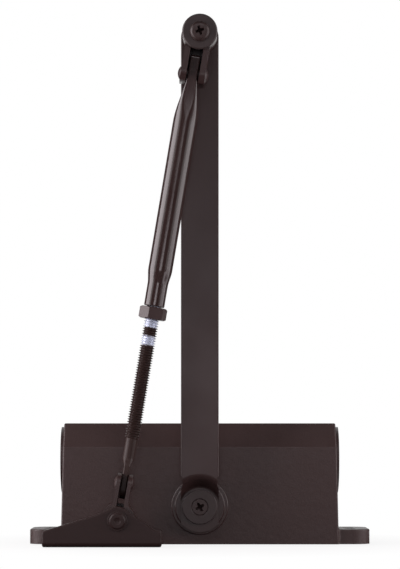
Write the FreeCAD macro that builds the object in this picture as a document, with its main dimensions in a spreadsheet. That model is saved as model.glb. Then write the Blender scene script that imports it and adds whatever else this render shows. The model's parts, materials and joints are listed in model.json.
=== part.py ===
# Overhead door closer with main arm, adjustable forearm and frame shoe.
#
# Frame: millimetres, Z up. The back of the body, which is screwed to the door, is the
# plane z = 0, and the origin is the centre of its four screw holes. X runs along the
# body. The pinion axis is parallel to Y, and the arm is on the -Y side.
import FreeCAD, Part
import math
import os
import Sketcher

Vector = FreeCAD.Vector
Rotation = FreeCAD.Rotation

# Driving dimensions: name, millimetres (or degrees, or a count)
DIMENSIONS = [
    # closer body
    ("body_length", 150.6),
    ("body_draft", 1.5),
    ("cylinder_wall", 3.5),
    ("body_depth", 44.0),
    ("bevel_height", 13.0),
    ("bevel_depth", 9.0),
    ("body_edge_radius", 0.9),
    ("ear_reach", 17.2),
    ("ear_setback", 2.0),
    ("ear_thickness", 8.0),
    ("ear_corner_radius", 9.0),
    ("ear_root_radius", 1.5),
    ("ear_edge_radius", 0.8),
    ("screw_offset", 6.45),
    ("screw_spacing_short", 19.0),
    ("screw_hole_radius", 3.3),
    # cylinder and end plugs
    ("bore_radius", 16.5),
    ("rack_offset", 13.0),
    ("boss_radius", 18.0),
    ("boss_step", 0.4),
    ("plug_radius", 17.0),
    ("plug_depth", 10.0),
    ("plug_dome", 0.5),
    ("plug_rim_radius", 0.4),
    ("plug_socket_flats", 10.0),
    ("plug_socket_depth", 3.5),
    ("ring_wire_radius", 0.9),
    ("ring_groove_width", 2.2),
    ("ring_groove_depth", 2.0),
    ("ring_groove_inset", 2.0),
    # pinion, its bearings and seals
    ("pinion_height", 20.5),
    ("tooth_count", 16),
    ("tooth_module", 1.5),
    ("tooth_root_share", 1.25),
    ("pressure_angle", 20.0),
    ("backlash", 0.16),
    ("gear_width", 15.0),
    ("gear_side_gap", 0.5),
    ("gear_tip_gap", 0.6),
    ("journal_radius", 7.5),
    ("spindle_flats", 11.0),
    ("spindle_shoulder", 1.0),
    ("running_fit", 0.05),
    ("shoulder_radius", 9.4),
    ("tooth_root_overlap", 0.5),
    ("needle_radius", 1.2),
    ("needle_count", 16),
    ("bearing_radius", 10.5),
    ("upper_bearing_length", 6.0),
    ("lower_bearing_length", 8.8),
    ("seal_length", 2.4),
    ("lip_thickness", 1.5),
    ("lip_gap", 0.5),
    ("seal_clearance", 0.85),
    ("cap_depth", 9.0),
    ("cap_rim_radius", 0.3),
    ("cap_thread_radius", 14.6),
    ("cap_flange_radius", 15.4),
    ("cap_flange_thickness", 0.8),
    ("cap_step_radius", 13.5),
    ("cap_step_thickness", 0.8),
    ("assembly_gap", 0.05),
    # piston, rack and check valve
    ("rack_addendum", 1.35),
    ("rack_spaces", 12),
    ("rack_spaces_before", 2),
    ("piston_spring_end", 14.0),
    ("piston_head_length", 16.0),
    ("piston_clearance", 3.7),
    ("spring_pocket_radius", 9.5),
    ("spring_pocket_end", 34.0),
    ("piston_ring_width", 3.0),
    ("piston_ring_depth", 1.6),
    ("valve_chamber_radius", 4.0),
    ("valve_chamber_depth", 9.0),
    ("valve_passage_radius", 1.8),
    ("check_ball_radius", 3.0),
    ("retainer_thickness", 1.4),
    ("retainer_hole_radius", 1.6),
    # closing spring
    ("spring_mean_radius", 7.3),
    ("spring_wire_radius", 1.9),
    ("spring_turns", 13),
    # regulating valves
    ("valve_spacing", 14.0),
    ("valve_height", 15.0),
    ("valve_radius", 3.4),
    ("valve_length", 17.0),
    ("valve_recess", 1.2),
    ("valve_tip_length", 3.0),
    ("valve_tip_radius", 1.1),
    ("valve_slot_width", 1.0),
    ("valve_slot_depth", 1.4),
    ("oil_passage_radius", 1.1),
    ("sweep_port_inset", 1.7),
    ("latch_port_inset", 3.0),
    ("valve_ring_wire_radius", 0.6),
    # levels of the arm, counted from the pinion face towards the viewer
    ("hub_gap", 3.0),
    ("arm_thickness", 5.0),
    ("joggle", 7.0),
    ("level_gap", 0.4),
    ("strap_width", 19.6),
    # main arm
    ("arm_centres", 251.5),
    ("arm_width", 20.2),
    ("arm_hub_margin", 3.4),
    ("arm_edge_radius", 0.6),
    ("fold_margin", 1.0),
    ("fold_run", 4.7),
    ("fold_low_round", 1.5),
    ("fold_top_round", 4.0),
    ("pinch_depth", 0.9),
    ("pinch_radius", 9.0),
    ("pinch_rise", 2.1),
    ("arm_washer_radius", 9.35),
    ("arm_washer_thickness", 2.0),
    ("arm_washer_edge_radius", 0.4),
    ("arm_screw_head_radius", 4.65),
    ("arm_screw_cone", 1.8),
    ("arm_screw_radius", 2.5),
    ("arm_screw_length", 14.0),
    ("arm_screw_turn", 28.0),
    # elbow
    ("bush_radius", 6.2),
    ("bush_spigot_radius", 5.0),
    ("bush_head_radius", 6.0),
    ("bush_head_thickness", 0.8),
    ("bush_head_round", 0.5),
    ("elbow_strap_thickness", 3.0),
    ("elbow_leg_thickness", 3.1),
    ("elbow_leg_gap", 6.8),
    ("elbow_root_radius", 3.0),
    ("elbow_leg_end", 5.5),
    ("strap_corner_radius", 6.0),
    ("elbow_washer_radius", 9.35),
    ("elbow_washer_thickness", 2.0),
    ("elbow_washer_bevel", 0.6),
    ("elbow_screw_head_radius", 5.3),
    ("elbow_screw_head_height", 3.2),
    ("elbow_screw_head_round", 2.1),
    ("elbow_screw_radius", 2.9),
    ("elbow_screw_length", 16.0),
    ("elbow_screw_turn", 18.0),
    ("elbow_rivet_radius", 3.0),
    ("elbow_rivet_head_radius", 4.0),
    ("elbow_rivet_head_height", 1.7),
    ("rivet_head_round", 1.4),
    # cross recess of both screws
    ("recess_span", 5.0),
    ("recess_width", 1.05),
    ("recess_core_radius", 0.95),
    ("recess_depth", 2.2),
    # forearm
    ("forearm_angle", 9.55),
    ("elbow_to_pin", 21.5),
    ("pin_to_pin", 220.2),
    ("blade_thickness", 5.5),
    ("blade_height", 16.8),
    ("blade_tip", 9.5),
    ("blade_end", 5.8),
    ("tube_radius", 6.45),
    ("tube_full_start", 20.0),
    ("neck_start", 112.4),
    ("neck_cone_length", 2.5),
    ("neck_end", 125.0),
    ("neck_radius", 5.5),
    ("tube_bore_radius", 4.85),
    ("tube_bore_start", 26.0),
    ("thread_radius", 4.0),
    ("nut_gap", 0.4),
    ("nut_flats", 13.0),
    ("nut_thickness", 6.5),
    ("nut_bevel_inset", 0.2),
    ("nut_bevel_height", 0.5),
    ("nut_turn", 17.0),
    ("rod_overlap", 28.0),
    ("thread_end", 196.6),
    ("shank_radius", 3.15),
    ("shank_end", 207.2),
    ("rod_blade_start", 210.0),
    ("rod_blade_thickness", 3.2),
    ("rod_blade_height", 9.6),
    ("rod_blade_tip", 8.3),
    # shoe
    ("pin_to_shoe", 20.0),
    ("shoe_strap_thickness", 2.0),
    ("shoe_leg_gap", 3.9),
    ("shoe_root_radius", 3.3),
    ("shoe_leg_end", 5.0),
    ("shoe_rivet_pin_radius", 2.5),
    ("shoe_rivet_pin_head_radius", 3.9),
    ("shoe_rivet_pin_head_height", 1.5),
    ("shoe_bush_radius", 7.35),
    ("shoe_left", 39.8),
    ("shoe_right", 23.2),
    ("shoe_pivot_height", 13.8),
    ("shoe_left_edge", 8.4),
    ("shoe_right_edge", 9.0),
    ("shoe_left_knee", 12.5),
    ("shoe_left_knee_height", 16.8),
    ("shoe_left_knee_radius", 20.0),
    ("shoe_right_knee", 19.6),
    ("shoe_right_knee_radius", 4.0),
    ("shoe_apex_offset", 0.75),
    ("shoe_apex_height", 22.7),
    ("shoe_apex_radius", 7.7),
    ("shoe_plate", 3.0),
    ("shoe_flange_plate", 2.8),
    ("shoe_flange_depth", 22.0),
    ("shoe_bend_radius", 2.4),
    ("shoe_corner_radius", 1.2),
    ("shoe_rim_radius", 1.0),
    ("shoe_hole_radius", 2.75),
    ("shoe_hole_left", 31.0),
    ("shoe_hole_right", 15.0),
    ("shoe_rivet_radius", 4.0),
    ("shoe_rivet_head_radius", 5.3),
    ("shoe_rivet_head_height", 0.7),
    ("shoe_rivet_crown_radius", 4.2),
    ("shoe_rivet_crown_height", 0.8),
    ("shoe_rivet_crown_bevel", 0.5),
    ("shoe_rivet_dimple_radius", 1.6),
    ("shoe_rivet_dimple_depth", 0.5),
    ("shoe_tail_radius", 5.4),
    ("shoe_tail_thickness", 1.0),
    ("shoe_washer_radius", 8.8),
    ("shoe_washer_thickness", 1.2),
    # cap over the unused spindle end
    ("spindle_reach", 7.8),
    ("cover_radius", 10.4),
    ("cover_wall", 1.4),
    ("cover_gap", 1.0),
    ("cover_rim_radius", 1.0),
]

doc = FreeCAD.newDocument("door_closer")
sheet = doc.addObject("Spreadsheet::Sheet", "dims")
for row, (name, size) in enumerate(DIMENSIONS, start=1):
    sheet.set(f"A{row}", name)
    sheet.set(f"B{row}", str(size))
    sheet.setAlias(f"B{row}", name)
doc.recompute()

# Levels above the pinion face, as expressions
HUB_LOW = "dims.hub_gap"
HUB_TOP = "(dims.hub_gap + dims.arm_thickness)"
ARM_LOW = "(dims.hub_gap + dims.joggle)"
ARM_TOP = f"({ARM_LOW} + dims.arm_thickness)"
STRAP_LOW = f"({ARM_TOP} + dims.level_gap)"
STRAP_TOP = f"({STRAP_LOW} + dims.strap_width)"
STRAP_MIDDLE = f"({STRAP_LOW} + dims.strap_width / 2)"
COVER_LOW = f"({STRAP_TOP} + dims.level_gap)"

# Places of the axes in the model's frame
FACE = "(-dims.body_depth / 2)"
ELBOW_Z = "(dims.pinion_height + dims.arm_centres)"
FOREARM_Y = f"({FACE} - {STRAP_MIDDLE})"
REACH_X = "(-sin(dims.forearm_angle * 1 deg))"
REACH_Z = "(-cos(dims.forearm_angle * 1 deg))"
SHOE_REACH = "(dims.elbow_to_pin + dims.pin_to_pin + dims.pin_to_shoe)"
SHOE_X = f"({REACH_X} * {SHOE_REACH})"
SHOE_Z = f"({ELBOW_Z} + {REACH_Z} * {SHOE_REACH})"
PITCH_RADIUS = "(dims.tooth_count * dims.tooth_module / 2)"
TIP_RADIUS = f"({PITCH_RADIUS} + dims.tooth_module)"
TOOTH_ROOT = "(dims.tooth_root_share * dims.tooth_module)"
RACK_TIPS = f"(dims.pinion_height + {PITCH_RADIUS} - dims.rack_addendum)"
RACK_ROOTS = f"(dims.pinion_height + {PITCH_RADIUS} + {TOOTH_ROOT})"
BORE_HEIGHT = f"(dims.pinion_height + {PITCH_RADIUS} + dims.rack_offset)"
BODY_FRONT = f"({BORE_HEIGHT} + dims.bore_radius + dims.cylinder_wall)"
CHAMBER_HALF = "(dims.gear_width / 2 + dims.gear_side_gap)"
CAP_INNER = "(dims.body_depth / 2 - dims.cap_depth)"
UPPER_BEARING = f"({CAP_INNER} + 2 * dims.assembly_gap)"
LOWER_BEARING = ("(dims.body_depth / 2 - dims.lip_thickness - dims.seal_clearance"
                 " - dims.seal_length - dims.level_gap / 2 - dims.lower_bearing_length)")
BOSS_END = "(dims.body_length / 2 + dims.boss_step)"
PLUG_FACE = f"({BOSS_END} - dims.plug_depth)"
EAR_TIP = "(dims.body_length / 2 + dims.ear_reach)"
EAR_SIDE = "(dims.body_depth / 2 - dims.ear_setback)"
ARM_HUB = "(dims.arm_width / 2 + dims.arm_hub_margin)"
FOLD_LOW = "(dims.arm_width / 2 + dims.fold_margin)"
FOLD_TOP = f"({FOLD_LOW} + dims.fold_run)"
PISTON_RADIUS = "(dims.bore_radius - dims.running_fit)"
PISTON_END = f"({PLUG_FACE} - dims.piston_clearance)"
HEAD_START = f"({PISTON_END} - dims.piston_head_length)"
RING_PLACE = f"(({HEAD_START} + {PISTON_END}) / 2)"
PLUG_RING_X = f"({PLUG_FACE} + dims.ring_groove_inset + dims.ring_groove_width / 2)"

# The regulating valves open in the end of the body, beside each other
VALVE_END = ("(dims.body_length / 2 - dims.body_draft * dims.valve_height"
             f" / {BODY_FRONT})")
VALVE_DEEP = (f"({VALVE_END} - dims.valve_recess - dims.valve_length"
              " - dims.valve_tip_length)")
VALVES = [
    ("sweep_valve", "-dims.valve_spacing / 2", f"({PLUG_FACE} - dims.sweep_port_inset)"),
    ("latch_valve", "dims.valve_spacing / 2", f"({PISTON_END} - dims.latch_port_inset)"),
]

# Directions of a piece's own Y axis
ALONG_Y = Rotation()
TO_VIEWER = Rotation(Vector(0, 0, 1), 180)
ALONG_X = Rotation(Vector(0, 0, 1), -90)
AGAINST_X = Rotation(Vector(0, 0, 1), 90)


def value(expression):
    """The number that an expression of the sheet gives now."""
    return float(sheet.evalExpression(expression))


FOREARM_TURN = Rotation(Vector(0, 1, 0), value("dims.forearm_angle"))
DOWN = Rotation(Vector(1, 0, 0), -90)
ALONG_FOREARM = FOREARM_TURN.multiply(DOWN)

nodes = []


def node(item, label):
    """Keep an object as one named sub-part."""
    item.Label = label
    nodes.append(item)
    return item


def place(item, turn, x="0", y="0", z="0"):
    """Turn an object and bind its base point to expressions."""
    item.Placement = FreeCAD.Placement(Vector(), turn)
    item.setExpression("Placement.Base.x", x)
    item.setExpression("Placement.Base.y", y)
    item.setExpression("Placement.Base.z", z)
    return item


def new_body(name):
    return doc.addObject("PartDesign::Body", name)


def new_sketch(body, name, role, offset="0"):
    """Sketch on an origin plane of the body, moved along the plane's normal."""
    item = body.newObject("Sketcher::SketchObject", name)
    plane = [part for part in body.Origin.OriginFeatures if part.Role == role][0]
    item.AttachmentSupport = (plane, [""])
    item.MapMode = "FlatFace"
    item.setExpression("AttachmentOffset.Base.z", offset)
    return item


def outline(body, name, role, corners, offset="0"):
    """Closed outline through corners, each corner tied to the sheet by two distances."""
    item = new_sketch(body, name, role, offset)
    points = [Vector(value(across), value(up), 0) for across, up in corners]
    count = len(points)
    for index in range(count):
        item.addGeometry(Part.LineSegment(points[index], points[(index + 1) % count]), False)
    for index in range(count):
        joined = Sketcher.Constraint("Coincident", index, 2, (index + 1) % count, 1)
        item.addConstraint(joined)
    for index, corner in enumerate(corners):
        for kind, size, number in zip(("DistanceX", "DistanceY"), corner, points[index]):
            tie = item.addConstraint(Sketcher.Constraint(kind, -1, 1, index, 1, number))
            item.setExpression(f"Constraints[{tie}]", size)
    return item


def circle(body, name, role, radius, across="0", up="0", offset="0"):
    """One circle, its radius and centre tied to the sheet."""
    item = new_sketch(body, name, role, offset)
    centre = Vector(value(across), value(up), 0)
    ring = item.addGeometry(Part.Circle(centre, Vector(0, 0, 1), value(radius)), False)
    ties = [
        (Sketcher.Constraint("Radius", ring, value(radius)), radius),
        (Sketcher.Constraint("DistanceX", -1, 1, ring, 3, centre.x), across),
        (Sketcher.Constraint("DistanceY", -1, 1, ring, 3, centre.y), up),
    ]
    for constraint, size in ties:
        tie = item.addConstraint(constraint)
        item.setExpression(f"Constraints[{tie}]", size)
    return item


def pad(body, name, profile, length, symmetric=False, reverse=False):
    item = body.newObject("PartDesign::Pad", name)
    item.Profile = profile
    item.SideType = "Symmetric" if symmetric else "One side"
    item.Reversed = reverse
    item.setExpression("Length", length)
    return item


def cut(body, name, profile, length, symmetric=False, reverse=False):
    """Pocket that has to take something away."""
    doc.recompute()
    before = body.Shape.Volume
    item = body.newObject("PartDesign::Pocket", name)
    item.Profile = profile
    item.SideType = "Symmetric" if symmetric else "One side"
    item.Reversed = reverse
    item.setExpression("Length", length)
    doc.recompute()
    assert body.Shape.Volume < before, f"{name} cuts nothing"
    return item


def bored(body, name, radius, length, turn, x="0", y="0", z="0"):
    """Round hole in a body: a cylinder along the turned Z axis, taken away."""
    doc.recompute()
    before = body.Shape.Volume
    item = body.newObject("PartDesign::SubtractiveCylinder", name)
    item.setExpression("Radius", radius)
    item.setExpression("Height", length)
    item.AttachmentOffset = FreeCAD.Placement(Vector(), turn)
    place(item, turn, x, y, z)
    doc.recompute()
    assert body.Shape.Volume < before, f"{name} cuts nothing"
    return item


HOLE_ALONG_X = Rotation(Vector(0, 1, 0), 90)
HOLE_ALONG_Y = Rotation(Vector(1, 0, 0), -90)
HOLE_ALONG_Z = Rotation()


def rounded(body, name, radius, wanted):
    """Fillet on the edges of the body's last feature that the test picks out."""
    doc.recompute()
    base = body.Tip
    picked = [f"Edge{n}" for n, edge in enumerate(base.Shape.Edges, start=1) if wanted(edge)]
    assert picked, f"{name} finds no edge"
    item = body.newObject("PartDesign::Fillet", name)
    item.Base = (base, picked)
    item.setExpression("Radius", radius)
    return item


def turned(label, corners, turn, x="0", y="0", z="0"):
    """Turned piece: an outline of (radius, distance along the axis) spun about its Y axis."""
    body = new_body(label)
    profile = outline(body, f"{label}_profile", "XY_Plane", corners)
    spin = body.newObject("PartDesign::Revolution", f"{label}_spin")
    spin.Profile = profile
    spin.ReferenceAxis = (profile, ["V_Axis"])
    spin.Angle = 360.0
    return place(body, turn, x, y, z)


def ring(label, inner, outer, low, high, turn, x="0", y="0", z="0"):
    """Plain ring between two radii and two distances along its axis."""
    corners = [(inner, low), (outer, low), (outer, high), (inner, high)]
    return turned(label, corners, turn, x, y, z)


def box(name, sizes, turn, x, y, z):
    item = doc.addObject("Part::Box", name)
    for side, size in zip(("Length", "Width", "Height"), sizes):
        item.setExpression(side, size)
    return place(item, turn, x, y, z)


def cylinder(name, radius, length, turn, x="0", y="0", z="0"):
    item = doc.addObject("Part::Cylinder", name)
    item.setExpression("Radius", radius)
    item.setExpression("Height", length)
    return place(item, turn, x, y, z)


def fused(name, shapes):
    item = doc.addObject("Part::MultiFuse", name)
    item.Shapes = shapes
    return item


def shared(name, shapes):
    item = doc.addObject("Part::MultiCommon", name)
    item.Shapes = shapes
    return item


def without(name, base, tool):
    """What is left of one object after another is taken away."""
    item = doc.addObject("Part::Cut", name)
    item.Base = base
    item.Tool = tool
    return item


NEAR = 0.01


def along(edge, axis):
    """True for a straight edge parallel to a unit vector."""
    if edge.Degenerated or edge.Curve.TypeId != "Part::GeomLine":
        return False
    return edge.tangentAt(edge.FirstParameter).cross(axis).Length < NEAR


def is_rim(edge, radius, centre):
    """True for a circle or arc with this radius, whose centre lies at this distance along Y."""
    if edge.Degenerated or edge.Curve.TypeId != "Part::GeomCircle":
        return False
    return abs(edge.Curve.Radius - radius) < NEAR and abs(edge.Curve.Center.y - centre) < NEAR


def round_rim(body, name, radius, rim_radius, level):
    """Round a circular rim of a turned piece."""
    size = value(rim_radius)
    height = value(level)
    return rounded(body, name, radius, lambda edge: is_rim(edge, size, height))


# Closer body: cast housing
def make_closer_body():
    body = new_body("closer_body_body")
    front = BODY_FRONT
    half_depth = "dims.body_depth / 2"
    block = outline(body, "body_outline", "XZ_Plane", [
        ("-dims.body_length / 2", "0"),
        ("dims.body_length / 2", "0"),
        ("dims.body_length / 2 - dims.body_draft", front),
        ("dims.body_draft - dims.body_length / 2", front),
    ])
    pad(body, "body_block", block, "dims.body_depth", symmetric=True)
    for side, sign in (("near", "-1"), ("far", "1")):
        wedge = outline(body, f"{side}_bevel_outline", "YZ_Plane", [
            (f"{sign} * {half_depth}", f"{front} - dims.bevel_height"),
            (f"{sign} * ({half_depth} - dims.bevel_depth)", front),
            (f"{sign} * ({half_depth} + 1)", f"{front} + 1"),
        ])
        cut(body, f"{side}_bevel", wedge, "2 * dims.body_length", symmetric=True)
    rounded(body, "body_edges", "dims.body_edge_radius",
            lambda edge: edge.BoundBox.ZMax > 1)
    ears = outline(body, "ear_outline", "XY_Plane", [
        (f"-{EAR_TIP}", f"-{EAR_SIDE}"),
        (EAR_TIP, f"-{EAR_SIDE}"),
        (EAR_TIP, EAR_SIDE),
        (f"-{EAR_TIP}", EAR_SIDE),
    ])
    pad(body, "ears", ears, "dims.ear_thickness")
    tip = value(EAR_TIP)
    rounded(body, "ear_corners", "dims.ear_corner_radius",
            lambda edge: along(edge, Vector(0, 0, 1)) and edge.BoundBox.XMax - tip > -NEAR
            or along(edge, Vector(0, 0, 1)) and edge.BoundBox.XMin + tip < NEAR)
    root = value("dims.ear_thickness")
    rounded(body, "ear_edges", "dims.ear_edge_radius",
            lambda edge: along(edge, Vector(0, 1, 0)) and abs(edge.BoundBox.ZMax - root) < NEAR
            and abs(abs(edge.BoundBox.XMax) - tip) < NEAR)
    rounded(body, "ear_roots", "dims.ear_root_radius",
            lambda edge: along(edge, Vector(0, 1, 0)) and abs(edge.BoundBox.ZMax - root) < NEAR
            and edge.BoundBox.DiagonalLength > value(EAR_SIDE)
            and abs(edge.BoundBox.XMax) < tip - 1)
    bosses = circle(body, "boss_outline", "YZ_Plane", "dims.boss_radius", "0",
                    BORE_HEIGHT)
    pad(body, "end_bosses", bosses, f"2 * {BOSS_END}", symmetric=True)

    bored(body, "cylinder_bore", "dims.bore_radius", f"4 * {BOSS_END}", HOLE_ALONG_X,
          f"-2 * {BOSS_END}", "0", BORE_HEIGHT)
    for side, start in (("spring", f"-{BOSS_END} - 1"), ("valve", PLUG_FACE)):
        bored(body, f"{side}_plug_seat", "dims.plug_radius + dims.assembly_gap",
              "dims.plug_depth + 1", HOLE_ALONG_X, start, "0", BORE_HEIGHT)
    chamber = f"{TIP_RADIUS} + dims.gear_tip_gap"
    bored(body, "pinion_chamber", chamber, f"{CHAMBER_HALF} + {CAP_INNER}", HOLE_ALONG_Y,
          "0", f"-{CAP_INNER}", "dims.pinion_height")
    bored(body, "cap_seat", "dims.cap_thread_radius + dims.assembly_gap",
          "dims.cap_depth", HOLE_ALONG_Y, "0", FACE, "dims.pinion_height")
    bored(body, "lower_bearing_seat", "dims.bearing_radius + dims.assembly_gap",
          "dims.body_depth / 2 - dims.lip_thickness", HOLE_ALONG_Y,
          "0", "0", "dims.pinion_height")
    bored(body, "lower_spindle_hole", "dims.journal_radius + dims.lip_gap",
          "dims.body_depth", HOLE_ALONG_Y, "0", "0", "dims.pinion_height")
    for row, across in enumerate(("-1", "1")):
        for column, along_body in enumerate(("-1", "1")):
            bored(body, f"screw_hole_{row}{column}", "dims.screw_hole_radius",
                  "dims.ear_thickness + 2", HOLE_ALONG_Z,
                  f"{along_body} * (dims.body_length / 2 + dims.screw_offset)",
                  f"{across} * dims.screw_spacing_short / 2", "-1")
    for name, across, port in VALVES:
        bored(body, f"{name}_bore", "dims.valve_radius + dims.assembly_gap",
              "dims.valve_length + dims.valve_recess + dims.valve_tip_length",
              HOLE_ALONG_X, VALVE_DEEP, across, "dims.valve_height")
        bored(body, f"{name}_port", "dims.oil_passage_radius",
              f"{BORE_HEIGHT} - dims.bore_radius / 2 - dims.valve_height", HOLE_ALONG_Z,
              port, across, "dims.valve_height")
        bored(body, f"{name}_return", "dims.oil_passage_radius",
              f"{VALVE_DEEP} - {PITCH_RADIUS} + 1", HOLE_ALONG_X,
              f"{PITCH_RADIUS} - 1", across, "dims.valve_height")
    return node(body, "closer_body")


def hexagon(body, name, flats, role, offset="0"):
    """Hexagonal outline of a given size across flats about the origin."""
    corner = f"({flats} / 2 / cos(30 deg))"
    corners = []
    for step in range(6):
        angle = 60 * step
        corners.append((f"{corner} * cos({angle} deg)", f"{corner} * sin({angle} deg)"))
    return outline(body, name, role, corners, offset)


# End plugs with their sealing rings
def make_end_plug(label, turn, x):
    """Screwed plug: its Y axis points out of the body, from the plug's inner face."""
    groove_low = "dims.ring_groove_inset"
    groove_high = "(dims.ring_groove_inset + dims.ring_groove_width)"
    groove = "(dims.plug_radius - dims.ring_groove_depth)"
    body = turned(label, [
        ("0", "0"),
        ("dims.plug_radius", "0"),
        ("dims.plug_radius", groove_low),
        (groove, groove_low),
        (groove, groove_high),
        ("dims.plug_radius", groove_high),
        ("dims.plug_radius", "dims.plug_depth"),
        ("dims.plug_radius / 2", "dims.plug_depth + dims.plug_dome"),
        ("0", "dims.plug_depth + dims.plug_dome"),
    ], turn, x, "0", BORE_HEIGHT)
    round_rim(body, f"{label}_rim", "dims.plug_rim_radius", "dims.plug_radius",
              "dims.plug_depth")
    socket = hexagon(body, f"{label}_socket_outline", "dims.plug_socket_flats", "XZ_Plane",
                     "-dims.plug_depth - dims.plug_dome")
    cut(body, f"{label}_socket", socket, "dims.plug_socket_depth", reverse=True)
    return node(body, label)


def make_seal_ring(label, major, wire, turn, x, y, z):
    """Rubber ring: a torus about the turned Z axis."""
    item = doc.addObject("Part::Torus", label)
    item.setExpression("Radius1", major)
    item.setExpression("Radius2", wire)
    place(item, turn, x, y, z)
    return node(item, label)


# Pinion bearings, seals and cap
def make_upper_cap():
    lip = "(dims.cap_flange_thickness + dims.cap_step_thickness - dims.lip_thickness)"
    step = "(dims.cap_flange_thickness + dims.cap_step_thickness)"
    cap = turned("upper_bearing_cap", [
        ("dims.bearing_radius + dims.assembly_gap", "-dims.cap_depth"),
        ("dims.cap_thread_radius", "-dims.cap_depth"),
        ("dims.cap_thread_radius", "0"),
        ("dims.cap_flange_radius", "0"),
        ("dims.cap_flange_radius", "dims.cap_flange_thickness"),
        ("dims.cap_step_radius", "dims.cap_flange_thickness"),
        ("dims.cap_step_radius", step),
        ("dims.journal_radius + dims.lip_gap", step),
        ("dims.journal_radius + dims.lip_gap", lip),
        ("dims.bearing_radius + dims.assembly_gap", lip),
    ], TO_VIEWER, "0", FACE, "dims.pinion_height")
    round_rim(cap, "cap_flange_rim", "dims.cap_rim_radius", "dims.cap_flange_radius",
              "dims.cap_flange_thickness")
    round_rim(cap, "cap_step_rim", "dims.cap_rim_radius", "dims.cap_step_radius", step)
    return node(cap, "upper_bearing_cap")


def make_bearing(label, turn, start, length):
    """Drawn cup with loose needles; its Y axis points away from the gear."""
    cup_bore = "(dims.journal_radius + 2 * dims.needle_radius + 2 * dims.running_fit)"
    cup = ring(f"{label}_cup", cup_bore, "dims.bearing_radius", start,
               f"{start} + {length}", turn, "0", "0", "dims.pinion_height")
    parts = [cup]
    track = "(dims.journal_radius + dims.needle_radius + dims.running_fit)"
    low = start if turn.multVec(Vector(0, 1, 0)).y > 0 else f"-{start} - {length}"
    for index in range(int(value("dims.needle_count"))):
        angle = f"({index} * 360 / dims.needle_count * 1 deg)"
        needle = cylinder(f"{label}_needle_{index}", "dims.needle_radius", length,
                          HOLE_ALONG_Y, f"{track} * sin({angle})", low,
                          f"dims.pinion_height + {track} * cos({angle})")
        parts.append(needle)
    item = doc.addObject("Part::Compound", label)
    item.Links = parts
    return node(item, label)


def make_shaft_seal(label, turn, bearing_end):
    start = f"({bearing_end} + dims.level_gap / 2)"
    seal = ring(label, "dims.journal_radius + dims.running_fit", "dims.bearing_radius",
                start, f"{start} + dims.seal_length", turn, "0", "0", "dims.pinion_height")
    return node(seal, label)


def make_spindle_cover():
    far = "dims.body_depth / 2"
    inside = f"({far} + dims.spindle_reach + dims.cover_gap)"
    top = f"({inside} + dims.cover_wall)"
    cover = turned("spindle_cover", [
        ("dims.cover_radius - dims.cover_wall", far),
        ("dims.cover_radius", far),
        ("dims.cover_radius", top),
        ("0", top),
        ("0", inside),
        ("dims.cover_radius - dims.cover_wall", inside),
    ], ALONG_Y, "0", "0", "dims.pinion_height")
    round_rim(cover, "cover_rim", "dims.cover_rim_radius", "dims.cover_radius", top)
    return node(cover, "spindle_cover")


# Pinion shaft: gear between two journals, with a square at each end
def gear_tooth(pitch, tip, floor, pressure, thickness, width):
    """One involute tooth that points along +Z, as a solid centred on y = 0. It is as thick
    as given at the pitch radius, and radial from the base circle down to its floor."""
    base = pitch * math.cos(pressure)
    offset = thickness / (2 * pitch) + math.tan(pressure) - pressure
    steps = 6

    def flank_point(radius, side):
        roll = math.acos(base / radius)
        angle = side * (offset - (math.tan(roll) - roll))
        return Vector(radius * math.sin(angle), -width / 2, radius * math.cos(angle))

    radii = [base + (tip - base) * (step / steps) for step in range(steps + 1)]
    edges = []
    feet = []
    for side in (-1, 1):
        flank = Part.BSplineCurve()
        flank.interpolate([flank_point(radius, side) for radius in radii])
        edges.append(flank.toShape())
        angle = side * offset
        feet.append(Vector(floor * math.sin(angle), -width / 2, floor * math.cos(angle)))
        edges.append(Part.makeLine(feet[-1], flank_point(base, side)))
    crown = Part.Arc(flank_point(tip, -1), Vector(0, -width / 2, tip), flank_point(tip, 1))
    edges.append(crown.toShape())
    edges.append(Part.makeLine(feet[0], feet[1]))
    face = Part.Face(Part.Wire(Part.__sortEdges__(edges)))
    return face.extrude(Vector(0, width, 0))


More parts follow.
